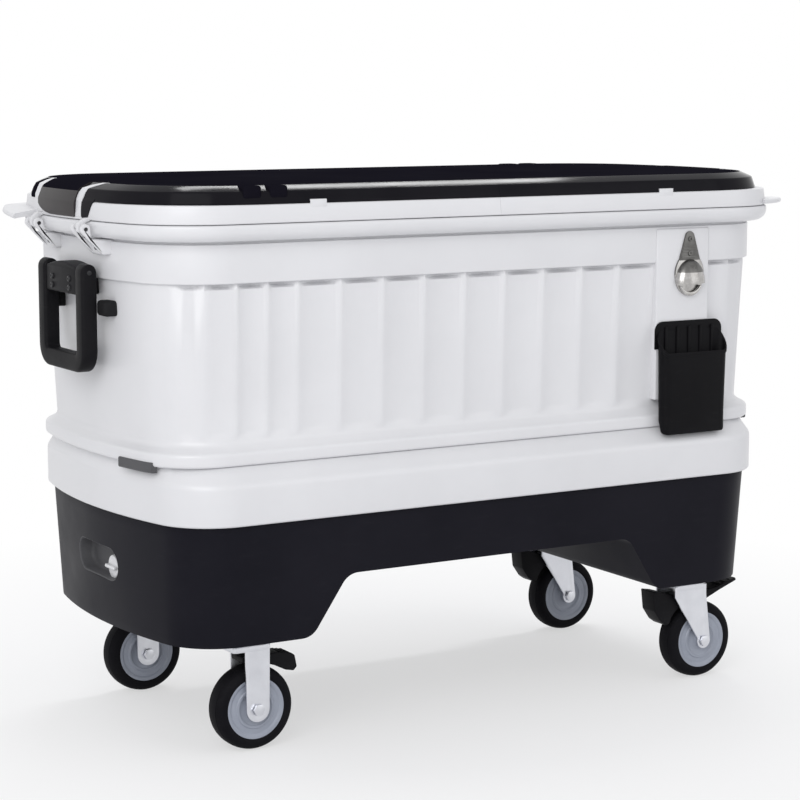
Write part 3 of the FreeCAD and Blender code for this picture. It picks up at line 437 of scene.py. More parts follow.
def lowerEdge(plan, height, radius, steps=4, inset=0):
    return edgeArc(plan, inset + radius, height + radius, radius, -90, 0, steps)


def upperEdge(plan, height, radius, last=90, inset=0):
    return edgeArc(plan, inset + radius, height - radius, radius, 0, last)


def orderOf(bm):
    # a number on each vertex that tells its place in its ring
    return bm.verts.layers.int.get("order") or bm.verts.layers.int.new("order")


def growRings(bm, edges, order, rings):
    # draws each ring out of the one before it
    faces = []
    for ring in rings:
        grown = bmesh.ops.extrude_edge_only(bm, edges=edges)["geom"]
        for vert in vertsOf(grown):
            vert.co = ring[vert[order]]
        edges = edgesOf(grown)
        faces += facesOf(grown)
    return edges, faces


def raiseRings(bm, rings, capFirst=True, capLast=True):
    order = orderOf(bm)
    start = bmesh.ops.create_circle(bm, segments=len(rings[0]), radius=1.0, cap_ends=False)["verts"]
    for index, vert in enumerate(start):
        vert[order] = index
        vert.co = rings[0][index]
    edges = linked(start, "link_edges")
    if capFirst:
        bmesh.ops.edgeloop_fill(bm, edges=edges)
    edges = growRings(bm, edges, order, rings[1:])[0]
    if capLast:
        bmesh.ops.edgeloop_fill(bm, edges=edges)


def makeShell(title, finish, rings, crease=32):
    bm = bmesh.new()
    raiseRings(bm, rings)
    finishPiece(title, bm, finish, crease=crease)


def raiseLoop(bm, rings):
    raiseRings(bm, rings + rings[:1], capFirst=False, capLast=False)
    bmesh.ops.remove_doubles(bm, verts=bm.verts, dist=tiny)


# Base: black moulding on four legs with an arch through it from front to back
base = {"foot": 182, "top": 371, "footPlan": (564, 276, 95), "rimPlan": (574, 286, 95), "rows": 12,
        "upperEdge": 3, "chamfer": 0.9, "lowerEdge": 7,
        "archTop": 277, "archTopHalf": 266, "archFootHalf": 330, "archRadius": 34,
        "slotStraight": 50, "slotZ": 282, "slotHalf": 25, "pocketX": -541}
footTurn = 449.8     # where the long sides of the foot's outline end


def archStops():
    corners = ((-footTurn, base["foot"]), (-base["archFootHalf"], base["foot"]),
               (-base["archTopHalf"], base["archTop"]), (base["archTopHalf"], base["archTop"]),
               (base["archFootHalf"], base["foot"]), (footTurn, base["foot"]))
    path = roundedPath(corners, base["archRadius"], 10)
    return [x / footTurn for x, height in path], [height for x, height in path]


def makeBase():
    stops, heights = archStops()
    foot = planSpots(*base["footPlan"], stops)
    rim = planSpots(*base["rimPlan"], stops)
    half = len(foot) // 2
    lows = (heights + [base["foot"]] * (half - len(heights))) * 2
    rise = base["top"] - base["foot"]
    rings = []
    for row in range(base["rows"] + 1):
        ring = []
        for low, footSpot, rimSpot in zip(lows, foot, rim):
            height = low + (base["top"] - base["upperEdge"] - low) * row / base["rows"]
            x, y = between([footSpot], [rimSpot], (height - base["foot"]) / rise)[0][:2]
            ring.append(Vector((x, y, height)))
        rings.append(ring)
    rings.append(ringAt(rim, base["chamfer"], base["top"] - base["chamfer"]))
    rings.append(ringAt(rim, base["upperEdge"], base["top"]))
    bm = bmesh.new()
    raiseRings(bm, rings, capFirst=False)
    rimEdges = [edge for edge in bm.edges if edge.is_boundary]
    front = [edge for edge in rimEdges if all(vert.co.y < 0 for vert in edge.verts)]
    back = [edge for edge in rimEdges if all(vert.co.y > 0 for vert in edge.verts)]
    bmesh.ops.bridge_loops(bm, edges=front + back)
    bmesh.ops.recalc_face_normals(bm, faces=bm.faces)
    bmesh.ops.bevel(bm, geom=rimEdges, offset=base["lowerEdge"], segments=3, profile=0.5, affect="EDGES",
                    material=-1, clamp_overlap=True)
    return finishPiece("baseMoulding", bm, "baseBlack")


baseMoulding = makeBase()
print("base made")

# Belt: white skirt that overhangs the base, with a sloping shoulder
belt = {"low": 371, "faceTop": 426, "shoulder": 432, "top": 459, "lowerEdge": 4, "inside": 60, "neckEdge": 3,
        "curve": ((0.01, -2.5), (0.04, 0.4), (0.09, 2.9), (0.16, 5.2), (0.25, 7.4)), "slope": (0.6, 0.94)}


def shoulderRing(share, lift):
    return ringAt(between(plans["belt"], plans["neck"], share), 0, belt["shoulder"] + lift)


def makeBelt():
    rise = belt["top"] - belt["shoulder"]
    rings = [ringAt("belt", belt["inside"], belt["low"])]
    rings += lowerEdge("belt", belt["low"], belt["lowerEdge"])
    rings.append(ringAt("belt", 0, belt["faceTop"]))
    rings += [shoulderRing(share, lift) for share, lift in belt["curve"]]
    rings += [shoulderRing(share, rise * share) for share in belt["slope"]]
    rings.append(ringAt("neck", belt["neckEdge"], belt["top"]))
    makeShell("beltMoulding", "whitePlastic", rings)


makeBelt()

# Tub: white outer shell with hollow flutes along both long sides, a plain band and a rolled lip
tub = {"low": 459, "beadTop": 482, "wallLow": 494, "wallTop": 734, "lipLow": 798, "lipTop": 823,
       "inside": 60, "beadLower": 4.5, "beadUpper": 7, "fillet": ((-6.5, 486.5), (-3, 489.5), (-0.8, 493)),
       "wall": 3, "behind": 16, "bandEdge": 2, "groove": 5, "grooveEdge": 1, "lipRadius": 18, "lipEdge": 4,
       "fluteLow": 497, "fluteFade": ((501, 0.35), (505, 0.75)), "fluteStart": 510, "fluteMiddle": 620,
       "fluteProud": 1.5, "fluteDepth": 5.0, "undercut": 9, "undercutRise": 4, "dig": 2.0,
       "ridge": 28.5, "pitch": 74.6, "narrow": 52, "narrowCount": 5, "plainFrom": 500, "plainBy": 575}
broadRidges = [tub["ridge"] + tub["pitch"] * count for count in range(-5, 5)]
ridges = ([broadRidges[0] - tub["narrow"] * count for count in range(tub["narrowCount"], 0, -1)] + broadRidges
          + [broadRidges[-1] + tub["narrow"] * count for count in range(1, tub["narrowCount"] + 1)])


def fluteHollow(strength, dig=0):
    def hollow(run):
        for left, right in zip(ridges, ridges[1:]):
            if left <= run < right:
                off = 2 * (run - left) / (right - left) - 1
                fade = (tub["plainBy"] - abs(run)) / (tub["plainBy"] - tub["plainFrom"])
                scale = strength * max(0, min(1, fade))
                return scale * (tub["fluteDepth"] * (1 + dig) * (1 - off * off) - tub["fluteProud"])
        return 0
    return hollow


def wallAt(height):
    share = (height - tub["wallLow"]) / (tub["wallTop"] - tub["wallLow"])
    return between(plans["wallLow"], plans["wallHigh"], share)


def makeTub():
    rings = [ringAt("flange", tub["inside"], tub["low"])]
    rings += lowerEdge("flange", tub["low"], tub["beadLower"])
    rings += upperEdge("flange", tub["beadTop"], tub["beadUpper"], 70)
    rings += [ringAt("wallLow", inset, height) for inset, height in tub["fillet"]]
    rings.append(ringAt(wallAt(tub["fluteLow"]), 0, tub["fluteLow"]))
    undercut = tub["wallTop"] - tub["undercut"]
    stations = [(height, fluteHollow(strength)) for height, strength in tub["fluteFade"]]
    stations += [(height, fluteHollow(1)) for height in (tub["fluteStart"], tub["fluteMiddle"], undercut)]
    # each flute ends in a scalloped undercut below the band
    scallop = fluteHollow(1, tub["dig"])
    stations += [(undercut + tub["undercutRise"], scallop), (tub["wallTop"], scallop)]
    rings += [ringAt(wallAt(height), 0, height, hollow) for height, hollow in stations]
    rings += lowerEdge("band", tub["wallTop"], tub["bandEdge"])
    groove = tub["lipLow"] - tub["groove"]      # a narrow groove draws the shadow line under the lip
    rings += upperEdge("band", groove, tub["grooveEdge"])
    rings += [ringAt("band", tub["groove"], groove), ringAt("band", tub["groove"], tub["lipLow"])]
    rings += lowerEdge("lip", tub["lipLow"], tub["lipRadius"], 10)
    rings += upperEdge("lip", tub["lipTop"], tub["lipEdge"])
    rings += [ringAt("wallHigh", tub["wall"], tub["lipTop"]), ringAt("wallHigh", tub["wall"], tub["lipLow"]),
              ringAt("wallHigh", tub["behind"], tub["wallTop"]),
              ringAt("wallLow", tub["behind"], tub["low"] + tub["wall"])]
    makeShell("tubShell", "whitePlastic", rings, crease=40)


makeTub()

# Liner: white inner tub with a rounded mouth and floor
liner = {"floor": 520, "top": 823, "brim": 3, "brimInset": 3.25, "wall": 2.5, "draft": 20,
         "floorRadius": 30, "mouthRadius": 6}


def makeLiner():
    rise = liner["top"] - liner["floor"]
    lowInset = liner["draft"] * (rise - liner["floorRadius"]) / rise
    floorCentre = lowInset + liner["floorRadius"]
    rings = [ringAt("mouth", liner["draft"] - liner["wall"], liner["floor"] - liner["wall"]),
             ringAt("mouth", -liner["wall"], liner["top"] - liner["brim"]),
             ringAt("wallHigh", liner["brimInset"], liner["top"] - liner["brim"]),
             ringAt("wallHigh", liner["brimInset"], liner["top"])]
    rings += edgeArc("mouth", -liner["mouthRadius"], liner["top"] - liner["mouthRadius"],
                     liner["mouthRadius"], 90, 180)
    rings += edgeArc("mouth", floorCentre, liner["floor"] + liner["floorRadius"],
                     liner["floorRadius"], 0, -90, 6)
    makeShell("tubLiner", "whitePlastic", rings, crease=40)


makeLiner()

# Foam: pale filling between shell and liner, clear of the flutes
foam = {"low": 463, "top": 790, "inset": 17, "clear": 4}


def makeFoam():
    rings = [ringAt("wallLow", foam["inset"], foam["low"]), ringAt("wallHigh", foam["inset"], foam["top"]),
             ringAt("mouth", -foam["clear"], foam["top"]),
             ringAt("mouth", liner["draft"] - foam["clear"], liner["floor"] - foam["clear"])]
    makeShell("insulationFoam", "foamYellow", rings)


makeFoam()

# Gasket: soft D-shaped strip round the lip, under the lids
gasket = {"inset": 14, "width": 7, "low": 821.5, "high": 823.6}


def makeGasket():
    middle = gasket["inset"] + gasket["width"] / 2
    half = gasket["width"] / 2
    rise = gasket["high"] - gasket["low"]
    rings = [ringAt("lip", middle - half * math.cos(angle), gasket["low"] + rise * math.sin(angle))
             for angle in [math.pi * step / 6 for step in range(7)]]
    bm = bmesh.new()
    raiseLoop(bm, rings)
    finishPiece("rimGasket", bm, "softRubber", crease=50)


makeGasket()
print("belt, tub, liner, foam and gasket made")

# Lids: white shells with a grip at one corner, black covers, white liners
lid = {"foot": 824, "rim": 852, "inside": 24, "parting": 0.15, "lower": 2.2, "upper": 2.5,
       "gripLow": 826, "gripHigh": 834, "gripInside": 60, "gripFrom": 545, "gripY": 116,
       "droopFrom": 622, "droop": 0.34,
       "tabX": 325, "tabHalf": 14, "tabNear": 280, "tabFar": 294.2, "tabLow": 846, "tabHigh": 858}
cover = {"foot": 1.6, "soft": 4, "path": ((0.3, 853.5), (6.5, 871), (26, 879.4), (60, 879.4))}
lidLiner = {"inset": 3.5, "high": 826.5, "brim": 824.2, "plugInset": 5, "plugRadius": 8, "low": 806,
            "dish": ((40, 806), (52, 810))}
sides = {"left": -1, "right": 1}


def cutParting(bm, side):
    keepSide(bm, (side * lid["parting"], 0, 0), (-side, 0, 0))


def makeGrip(side):
    # flange round one corner past the hinges: at the back on the left lid, at the front on the right
    grip = bmesh.new()
    edge = (lid["gripHigh"] - lid["gripLow"]) / 2
    rings = [ringAt("grip", lid["gripInside"], lid["gripLow"])]
    rings += edgeArc("grip", edge, lid["gripLow"] + edge, edge, -90, 90, 8)
    rings.append(ringAt("grip", lid["gripInside"], lid["gripHigh"]))
    raiseRings(grip, rings)
    keepSide(grip, (side * lid["gripFrom"], 0, 0), (-side, 0, 0))
    keepSide(grip, (0, -side * lid["gripY"], 0), (0, side, 0))
    for vert in grip.verts:     # the blade droops past the lip
        vert.co.z -= max(0, side * vert.co.x - lid["droopFrom"]) * lid["droop"]
    return grip


def makeLidShell(name, side):
    bm = bmesh.new()
    rings = [ringAt("lidFoot", lid["inside"], lid["foot"])]
    rings += lowerEdge("lidFoot", lid["foot"], lid["lower"])
    rings += upperEdge("lidRim", lid["rim"], lid["upper"])
    raiseRings(bm, rings)
    cutParting(bm, side)
    joinInto(bm, makeGrip(side))
    for face in (-1, 1):        # small white tabs that rise over the cover's lower edge
        addBlock(bm, span(side * lid["tabX"], lid["tabHalf"]),
                 sorted((face * lid["tabNear"], face * lid["tabFar"])), (lid["tabLow"], lid["tabHigh"]), 0.8)
    finishPiece(name + "LidShell", bm, "whitePlastic", name + "_lid")


def paintFaces(piece, finish, isChosen):
    # a second finish on some of a piece's faces
    piece.data.materials.append(finishes[finish])
    for face in piece.data.polygons:
        if isChosen(face):
            face.material_index = 1


def makeLidCover(name, side):
    bm = bmesh.new()
    rings = [ringAt("cover", inset, lid["rim"]) for inset in (lid["inside"], cover["foot"])]
    rings += [ringAt("cover", *point) for point in roundedPath(cover["path"], cover["soft"], 4)]
    raiseRings(bm, rings)
    cutParting(bm, side)
    piece = finishPiece(name + "LidCover", bm, "glossBlack", name + "_lid")
    paintFaces(piece, "deckBlack", lambda face: face.normal.z > 0.99)       # the flat deck


def makeLidLiner(name, side):
    bm = bmesh.new()
    radius = lidLiner["plugRadius"]
    rings = [ringAt("lidFoot", lidLiner["inset"], lidLiner["high"]),
             ringAt("lidFoot", lidLiner["inset"], lidLiner["brim"]),
             ringAt("mouth", lidLiner["plugInset"], lidLiner["brim"])]
    rings += edgeArc("mouth", lidLiner["plugInset"] + radius, lidLiner["low"] + radius, radius, 0, -90)
    rings += [ringAt("mouth", *point) for point in lidLiner["dish"]]
    raiseRings(bm, rings)
    cutParting(bm, side)
    finishPiece(name + "LidLiner", bm, "whitePlastic", name + "_lid", crease=40)


for name, side in sides.items():
    for makePart in (makeLidShell, makeLidCover, makeLidLiner):
        makePart(name, side)
print("lids made")

# Lid ends: rolled black panel, hinge straps beside it and white inlays between them
lidEnd = {"rimX": 613, "panelThick": 5, "rollRadius": 16, "inlayThick": 2, "strapThick": 5,
          "knuckle": 6.5, "armY": 93, "armHalf": 5}
hingePin = (-625, 812)
knuckleTop = ((-608, 829), (-620, 828), (-631.5, 820), (-631.5, 812))
knuckleRoot = ((-618.6, 821), (-608, 825))
panelRoll = ((46, 879.9), (22, 879.9), (3.2, 870.6), (-5.4, 850), (-5.4, 844))
# stations down each strip: inset from the rim, height, y from, y to
panelFoot = ((-5.4, 842, -50, 106), (-5.4, 838, -50, 99), (-5.4, 834, -50, 88), (-5.2, 830, -49.6, 70),
             (-4.8, 827.4, -48.6, 48))
nearInlay = ((31, 879.9, 94, 97), (26, 879.8, 84, 93), (16, 876.4, 69, 84), (6.4, 871.6, 56, 75),
             (3.2, 865, 51, 71), (-0.9, 855, 49, 70), (-1.9, 842, 48, 69), (-3.3, 829, 48, 69))
farInlay = ((31, 879.9, 118, 122), (26, 879.8, 114, 127), (16, 876.4, 110, 132), (6.4, 871.6, 107, 136),
            (3.2, 865, 105, 138), (-0.9, 855, 105, 138), (-1.9, 842, 103, 136), (-3.3, 829, 88, 130))
nearStrap = ((5, 867, 70.5, 104), (2, 858, 69.4, 106), (-0.6, 854, 68.6, 106), (-1.2, 851.5, 68, 103),
             (-1.5, 849, 68, 100), (-2.1, 844, 68, 97), (-2.8, 837, 68.4, 94), (-3.6, 830, 70, 91),
             (-4, 825.5, 75, 87))
farStrap = ((24, 879.2, 128, 150), (16, 876, 133, 158), (6.4, 871.2, 136, 163), (3, 865, 138, 166),
            (-0.6, 856, 138, 167), (-1.2, 852, 140, 166), (-1.5, 849, 144, 162))


def endX(inset, y):
    # the left end face of the lid at a distance in from its rim
    return bowRadius - lidEnd["rimX"] - math.sqrt((bowRadius - inset) ** 2 - y * y)


def addStrip(bm, stations, thickness, count=7):
    # a curved plate over the lid's end; each station: inset, height, y from, y to
    order = orderOf(bm)
    rows = []
    for inset, height, low, high in stations:
        across = [low + (high - low) * index / (count - 1) for index in range(count)]
        rows.append([Vector((endX(inset, y), y, height)) for y in across])
    verts = [bm.verts.new(spot) for spot in rows[0]]
    for index, vert in enumerate(verts):
        vert[order] = index
    edges = [bm.edges.new(pair) for pair in zip(verts, verts[1:])]
    faces = growRings(bm, edges, order, rows[1:])[1]
    bmesh.ops.recalc_face_normals(bm, faces=faces)
    if sum(face.normal.z - face.normal.x for face in faces) < 0:
        bmesh.ops.reverse_faces(bm, faces=faces)
    bmesh.ops.solidify(bm, geom=faces, thickness=thickness)


def toSide(bm, side):
    # drawn at the left end; a half turn carries it to the right
    if side > 0:
        bmesh.ops.scale(bm, vec=(-1, -1, 1), verts=bm.verts)


def towardsFront(stations):
    return [(inset, height, -low, -high) for inset, height, low, high in stations]


def finishAtEnd(name, side, title, bm, finish):
    toSide(bm, side)
    return finishPiece(name + title, bm, finish, name + "_lid")


def makePanel(name, side):
    bm = bmesh.new()
    near, far = panelFoot[0][2:]
    stations = [(*point, near, far) for point in roundedPath(panelRoll, lidEnd["rollRadius"], 5)]
    addStrip(bm, stations + list(panelFoot), lidEnd["panelThick"], 21)
    panel = finishAtEnd(name, side, "LidPanel", bm, "panelPaintedSheen")
    # painted shade: the rolled top takes the darker deck finish and the sides keep the lighter painted-sheen
    # finish, so the panel is dark on top as the light falls
    paintFaces(panel, "deckBlack", lambda face: face.normal.z > 0.5)        # the rolled top


def makeStrips(near, far, thickness):
    bm = bmesh.new()
    for stations in (towardsFront(near), far):
        addStrip(bm, stations, thickness)
    return bm


def makeStraps(name, side):
    bm = makeStrips(nearStrap, farStrap, lidEnd["strapThick"])
    straps = finishAtEnd(name, side, "LidStraps", bm, "glossBlack")
    paintFaces(straps, "deckBlack", lambda face: face.center.y * side < 0)      # the far strap


def makeKnuckles(name, side):
    bm = bmesh.new()
    outline = roundedPath(knuckleTop, 6, 4)
    outline += [*arcPoints(hingePin, lidEnd["knuckle"], 190, 350, 8), *knuckleRoot]
    for middle in both(lidEnd["armY"]):
        addPrism(bm, outline, "y", *span(middle, lidEnd["armHalf"]), 1.2, 2, 40)
    finishAtEnd(name, side, "LidKnuckles", bm, "whitePlastic")


def makeInlays(name, side):
    bm = makeStrips(nearInlay, farInlay, lidEnd["inlayThick"])
    finishAtEnd(name, side, "LidInlays", bm, "whitePlastic")


# Raised finger blocks: on the front shoulder of the left cover and the back one of the right
fingerBlocks = {"x": -412, "apart": 22, "halfWide": 15, "y": (-291, -262), "z": (860, 879.8)}


def makeFingerBlocks(name, side):
    bm = bmesh.new()
    for shift in both(fingerBlocks["apart"]):
        addBlock(bm, span(fingerBlocks["x"] + shift, fingerBlocks["halfWide"]), fingerBlocks["y"],
                 fingerBlocks["z"], 4, 3)
    finishAtEnd(name, side, "FingerBlocks", bm, "deckBlack")


for name, side in sides.items():
    for makePart in (makePanel, makeStraps, makeKnuckles, makeInlays, makeFingerBlocks):
        makePart(name, side)

# Hinge brackets, pins and screws under the lip at both ends
bracket = {"y": 93, "half": 21, "earIn": 14, "earLow": 773, "earHigh": 795, "earX": -598, "earRadius": 8,
           "shoulder": (-616.6, 797), "padX": -599, "padHalf": 20.4, "root": -566, "padZ": (772, 796),
           "screwZ": 784, "pinRadius": 3, "pinHalf": 22.5}
hingeMiddles = both(bracket["y"])
coverScrew = (5, 3)     # radius and height of the black screws


def makeAtEnds(title, finish, addParts):
    # the same parts at both ends, as one piece
    whole = bmesh.new()
    for side in sides.values():
        part = bmesh.new()
        addParts(part)
        toSide(part, side)
        joinInto(whole, part)
    finishPiece(title, whole, finish)


def addPin(bm, centre, radius, reach, steps, edge=0.8):
    # a round pin along y with chamfered ends
    profile = ((0, -reach), (radius - edge, -reach), (radius, edge - reach), (radius, reach - edge),
               (radius - edge, reach), (0, reach))
    addLathe(bm, profile, centre, (0, 1, 0), steps)


def addBrackets(bm):
    root = bracket["root"]
    ear = [(root, bracket["earLow"]), (bracket["earX"], bracket["earLow"])]
    ear += arcPoints(hingePin, bracket["earRadius"], 215, 0, 10)
    ear += [bracket["shoulder"], (bracket["earX"], bracket["earHigh"]), (root, bracket["earHigh"])]
    for middle in hingeMiddles:
        for face in (-1, 1):
            ends = sorted((middle + face * bracket["half"], middle + face * bracket["earIn"]))
            addPrism(bm, ear, "y", *ends, 1.5)
        addBlock(bm, (bracket["padX"], root - 1), span(middle, bracket["padHalf"]), bracket["padZ"], 3.5, 3)


def addHingePins(bm):
    for middle in hingeMiddles:
        addPin(bm, (hingePin[0], middle, hingePin[1]), bracket["pinRadius"], bracket["pinHalf"], 20)


def addHingeScrews(bm):
    for middle in hingeMiddles:
        addScrew(bm, (bracket["padX"], middle, bracket["screwZ"]), (-1, 0, 0), *coverScrew)


makeAtEnds("hingeBrackets", "whitePlastic", addBrackets)
makeAtEnds("hingePins", "blackScrew", addHingePins)
makeAtEnds("hingeScrews", "blackScrew", addHingeScrews)
print("lid ends and hinges made")

# Carry handles: fixed mounts, swinging bails, pins, screws and rubber bumpers
mount = {"face": -620, "back": -572, "half": 60, "low": 708, "sideTop": 749, "top": 757, "archSteps": 5,
         "screwY": 34, "screws": (718, 732)}
bail = {"x": -610, "halfThick": 13, "armY": 75, "halfWide": 14, "pivotZ": 744, "gripZ": 603, "turn": 21,
        "soft": 5, "pinRadius": 4, "pinProud": 0.4}
bumper = {"x": (-596.6, -566), "y": 97, "half": 17, "z": 690, "halfHigh": 12}


def bailStations():
    # y, z, heading in degrees, share of the thickness left at the rounded tops
    tops = [(bail["pivotZ"] + bail["halfThick"] * math.sin(math.radians(turn)), math.cos(math.radians(turn)))
            for turn in (78, 60, 40, 20, 0)]
    stations = [(-bail["armY"], height, -90, share) for height, share in tops]
    for middle, first in ((bail["turn"] - bail["armY"], -90), (bail["armY"] - bail["turn"], 0)):
        for step in range(9):
            heading = first + 90 * step / 8
            sweep = math.radians(heading - 90)
            stations.append((middle + bail["turn"] * math.cos(sweep),
                             bail["gripZ"] + bail["turn"] * (1 + math.sin(sweep)), heading, 1))
    return stations + [(bail["armY"], height, 90, share) for height, share in reversed(tops)]


def makeBail(name, side):
    bm = bmesh.new()
    profile = roundedRect(bail["halfWide"], bail["halfThick"], bail["soft"], 3)
    rings = []
    for y, z, heading, share in bailStations():
        outY, outZ = math.cos(math.radians(heading + 90)), math.sin(math.radians(heading + 90))
        rings.append([Vector((bail["x"] + thick * share, y + outY * wide, z + outZ * wide))
                      for wide, thick in profile])
    raiseRings(bm, rings)
    toSide(bm, side)
    finishPiece(name + "HandleBail", bm, "handleBlack", name + "_bail")


def addMount(bm):
    half, rise = mount["half"], mount["top"] - mount["sideTop"]
    arch = []
    for step in range(mount["archSteps"] + 1):      # the top is arched
        share = step / mount["archSteps"]
        arch.append((half * (1 - share), mount["sideTop"] + rise * math.sin(math.pi / 2 * share)))
    outline = [(-half, mount["low"]), (half, mount["low"])] + arch
    outline += [(-y, z) for y, z in reversed(arch[:-1])]
    addPrism(bm, outline, "x", mount["face"], mount["back"], 3.5, 3)


def addBumpers(bm):
    for middle in both(bumper["y"]):
        addBlock(bm, bumper["x"], span(middle, bumper["half"]), span(bumper["z"], bumper["halfHigh"]), 6, 4)


def addBailPin(bm):
    reach = bail["armY"] + bail["halfWide"] + bail["pinProud"]
    addPin(bm, (bail["x"], 0, bail["pivotZ"]), bail["pinRadius"], reach, 24)


def addMountScrews(bm):
    for y in both(mount["screwY"]):
        for z in mount["screws"]:
            addScrew(bm, (mount["face"], y, z), (-1, 0, 0), *coverScrew)


for name, side in sides.items():
    makeBail(name, side)
makeAtEnds("handleMounts", "mountGrey", addMount)
makeAtEnds("handleBumpers", "softRubber", addBumpers)
makeAtEnds("handlePins", "blackScrew", addBailPin)
makeAtEnds("handleScrews", "blackScrew", addMountScrews)
print("handles made")

# Clips that hold the tub's bead to the belt at the front corners
clip = {"fromX": 300, "y": -170, "half": 41, "low": 450, "high": 466, "edge": 2.5, "proud": 3, "deep": 6}


def makeClips():
    bm = bmesh.new()
    rings = [ringAt("flange", clip["deep"], clip["low"])]
    rings += lowerEdge("flange", clip["low"], clip["edge"], inset=-clip["proud"])
    rings += upperEdge("flange", clip["high"], clip["edge"], inset=-clip["proud"])
    rings.append(ringAt("flange", clip["deep"], clip["high"]))
    for side in sides.values():
        part = bmesh.new()
        raiseLoop(part, rings)
        keepSide(part, (side * clip["fromX"], 0, 0), (-side, 0, 0))
        keepSide(part, (0, clip["y"] - clip["half"], 0), (0, -1, 0))
        keepSide(part, (0, clip["y"] + clip["half"], 0), (0, 1, 0))
        joinInto(bm, part)
    finishPiece("tubClips", bm, "recessGrey")


makeClips()

# Bottle opener on its white backplate, above the cap bin
plate = {"x": (324, 432), "y": (-272.7, -255), "z": (505, 790), "soft": 2.2}
# paintedShadeAbove: faces higher than this take the darker finish, a painted shade on the top of the hood
opener = {"x": 390, "face": -272.7, "sheet": 3, "neckTop": 785, "topHalf": 9.5, "neckLow": 736, "lowHalf": 22,
          "discZ": 713, "discHalf": 30, "discHigh": 36, "domeZ": 698, "dome": (29.4, 18.8, 40),
          "hoodThick": 2, "paintedShadeAbove": 716, "ribs": (761, 756, 751, 742), "ribHigh": 1.3,
          "lipZ": 700, "lipOuter": 23, "lipInner": 22, "lipRise": 5, "lipProud": 5,
          "screws": (748, 772), "screwSize": (4.4, 2.2)}


def addNeck(bm, front):
    middle = opener["x"]
    rise = opener["neckTop"] - opener["neckLow"]
    neck = [(middle - opener["lowHalf"], opener["neckLow"]), (middle + opener["lowHalf"], opener["neckLow"])]
    neck += arcPoints((middle, opener["neckTop"] - opener["topHalf"]), opener["topHalf"], 8, 172, 8)
    addPrism(bm, neck, "y", front, opener["face"] - 0.05, 0.8)
    disc = [(middle + opener["discHalf"] * cosine, opener["discZ"] + opener["discHigh"] * sine)
            for cosine, sine in arcPoints((0, 0), 1, 0, 350, 35)]
    addPrism(bm, disc, "y", front + 0.1, opener["face"] - 0.05, 0.6)
    for height in opener["ribs"]:       # pressed ribs across the neck
        share = (opener["neckTop"] - height) / rise
        half = opener["topHalf"] + (opener["lowHalf"] - opener["topHalf"]) * share - 2
        addBlock(bm, span(middle, half), (front - 0.9, front + 0.5), span(height, opener["ribHigh"]), 0.6)


def addHood(bm, front):
    middle = opener["x"]
    dome = bmesh.new()
    verts = bmesh.ops.create_uvsphere(dome, u_segments=48, v_segments=32, radius=1.0)["verts"]
    bmesh.ops.scale(dome, vec=opener["dome"], verts=verts)
    bmesh.ops.translate(dome, vec=(middle, front, opener["domeZ"]), verts=verts)
    for point, normal in (((0, front, 0), (0, 1, 0)), ((0, 0, opener["domeZ"]), (0, 0, -1))):
        bmesh.ops.bisect_plane(dome, geom=dome.verts[:] + dome.edges[:] + dome.faces[:], dist=tiny,
                               plane_co=point, plane_no=normal, clear_outer=True)
    bmesh.ops.solidify(dome, geom=dome.faces[:], thickness=opener["hoodThick"])
    joinInto(bm, dome)
    crescent = arcPoints((middle, opener["lipZ"]), opener["lipOuter"], 195, 345, 14)
    crescent += arcPoints((middle, opener["lipZ"] + opener["lipRise"]), opener["lipInner"], 330, 210, 12)
    addPrism(bm, crescent, "y", front - opener["lipProud"], front + 0.5, 0.9, 2, 40)


def makeOpener():
    bm = bmesh.new()
    addBlock(bm, plate["x"], plate["y"], plate["z"], plate["soft"], 3)
    finishPiece("openerBackplate", bm, "whitePlastic")
    front = opener["face"] - opener["sheet"]
    bm = bmesh.new()
    addNeck(bm, front)
    addHood(bm, front)
    steel = finishPiece("bottleOpener", bm, "openerSteel")
    # painted shade: the neck and the top of the hood take the darker finish, which on the hood stands for the
    # dark reflection of the shade under the lip
    paintFaces(steel, "openerDarkAndPaintedShade", lambda face: face.center.z > opener["paintedShadeAbove"] * mm)
    bm = bmesh.new()
    for height in opener["screws"]:
        addScrew(bm, (opener["x"], front, height), (0, -1, 0), *opener["screwSize"])
    finishPiece("openerScrews", bm, "openerDarkAndPaintedShade")


makeOpener()

# Cap bin: tapered open box with sloping sides, a taller back with round corners and ribs inside
capBin = {"x": 390, "rear": -273.05, "back": 636, "backLow": 590, "backHalf": 69.8, "backThick": 2.6,
          "backRadius": 16, "taper": 0.5, "ribStep": 24, "ribHalf": 3, "ribZ": (482, 627),
          "ribProud": 5.6, "ribRoot": 2, "hookX": 30, "hookHalf": 8, "hookZ": (545, 572), "hookReach": -264.5}
# rings up the outside and down the inside: half width, front, rear, corner, height in front and behind
binRings = ((57, -294, -284, 4, 447.2, 449.6), (61.5, -297.2, -282.2, 6.5, 448, 450.6),
            (63.6, -298.6, -281, 8, 450.8, 453), (64.6, -299, -274.2, 11, 468, 471),
            (65, -299.1, -273.5, 12, 480, 486), (67.6, -299.4, -273.3, 12, 577, 612),
            (69.5, -300, -273.05, 12.5, 578.4, 614), (69.5, -300, -273.05, 12.5, 583.6, 619.4),
            (68.4, -299.4, -273.6, 12, 585, 621), (66.6, -297.6, -275.4, 10.5, 585, 621),
            (66, -297, -276, 10, 583.6, 619.4), (62, -296, -277.2, 9, 456, 476))


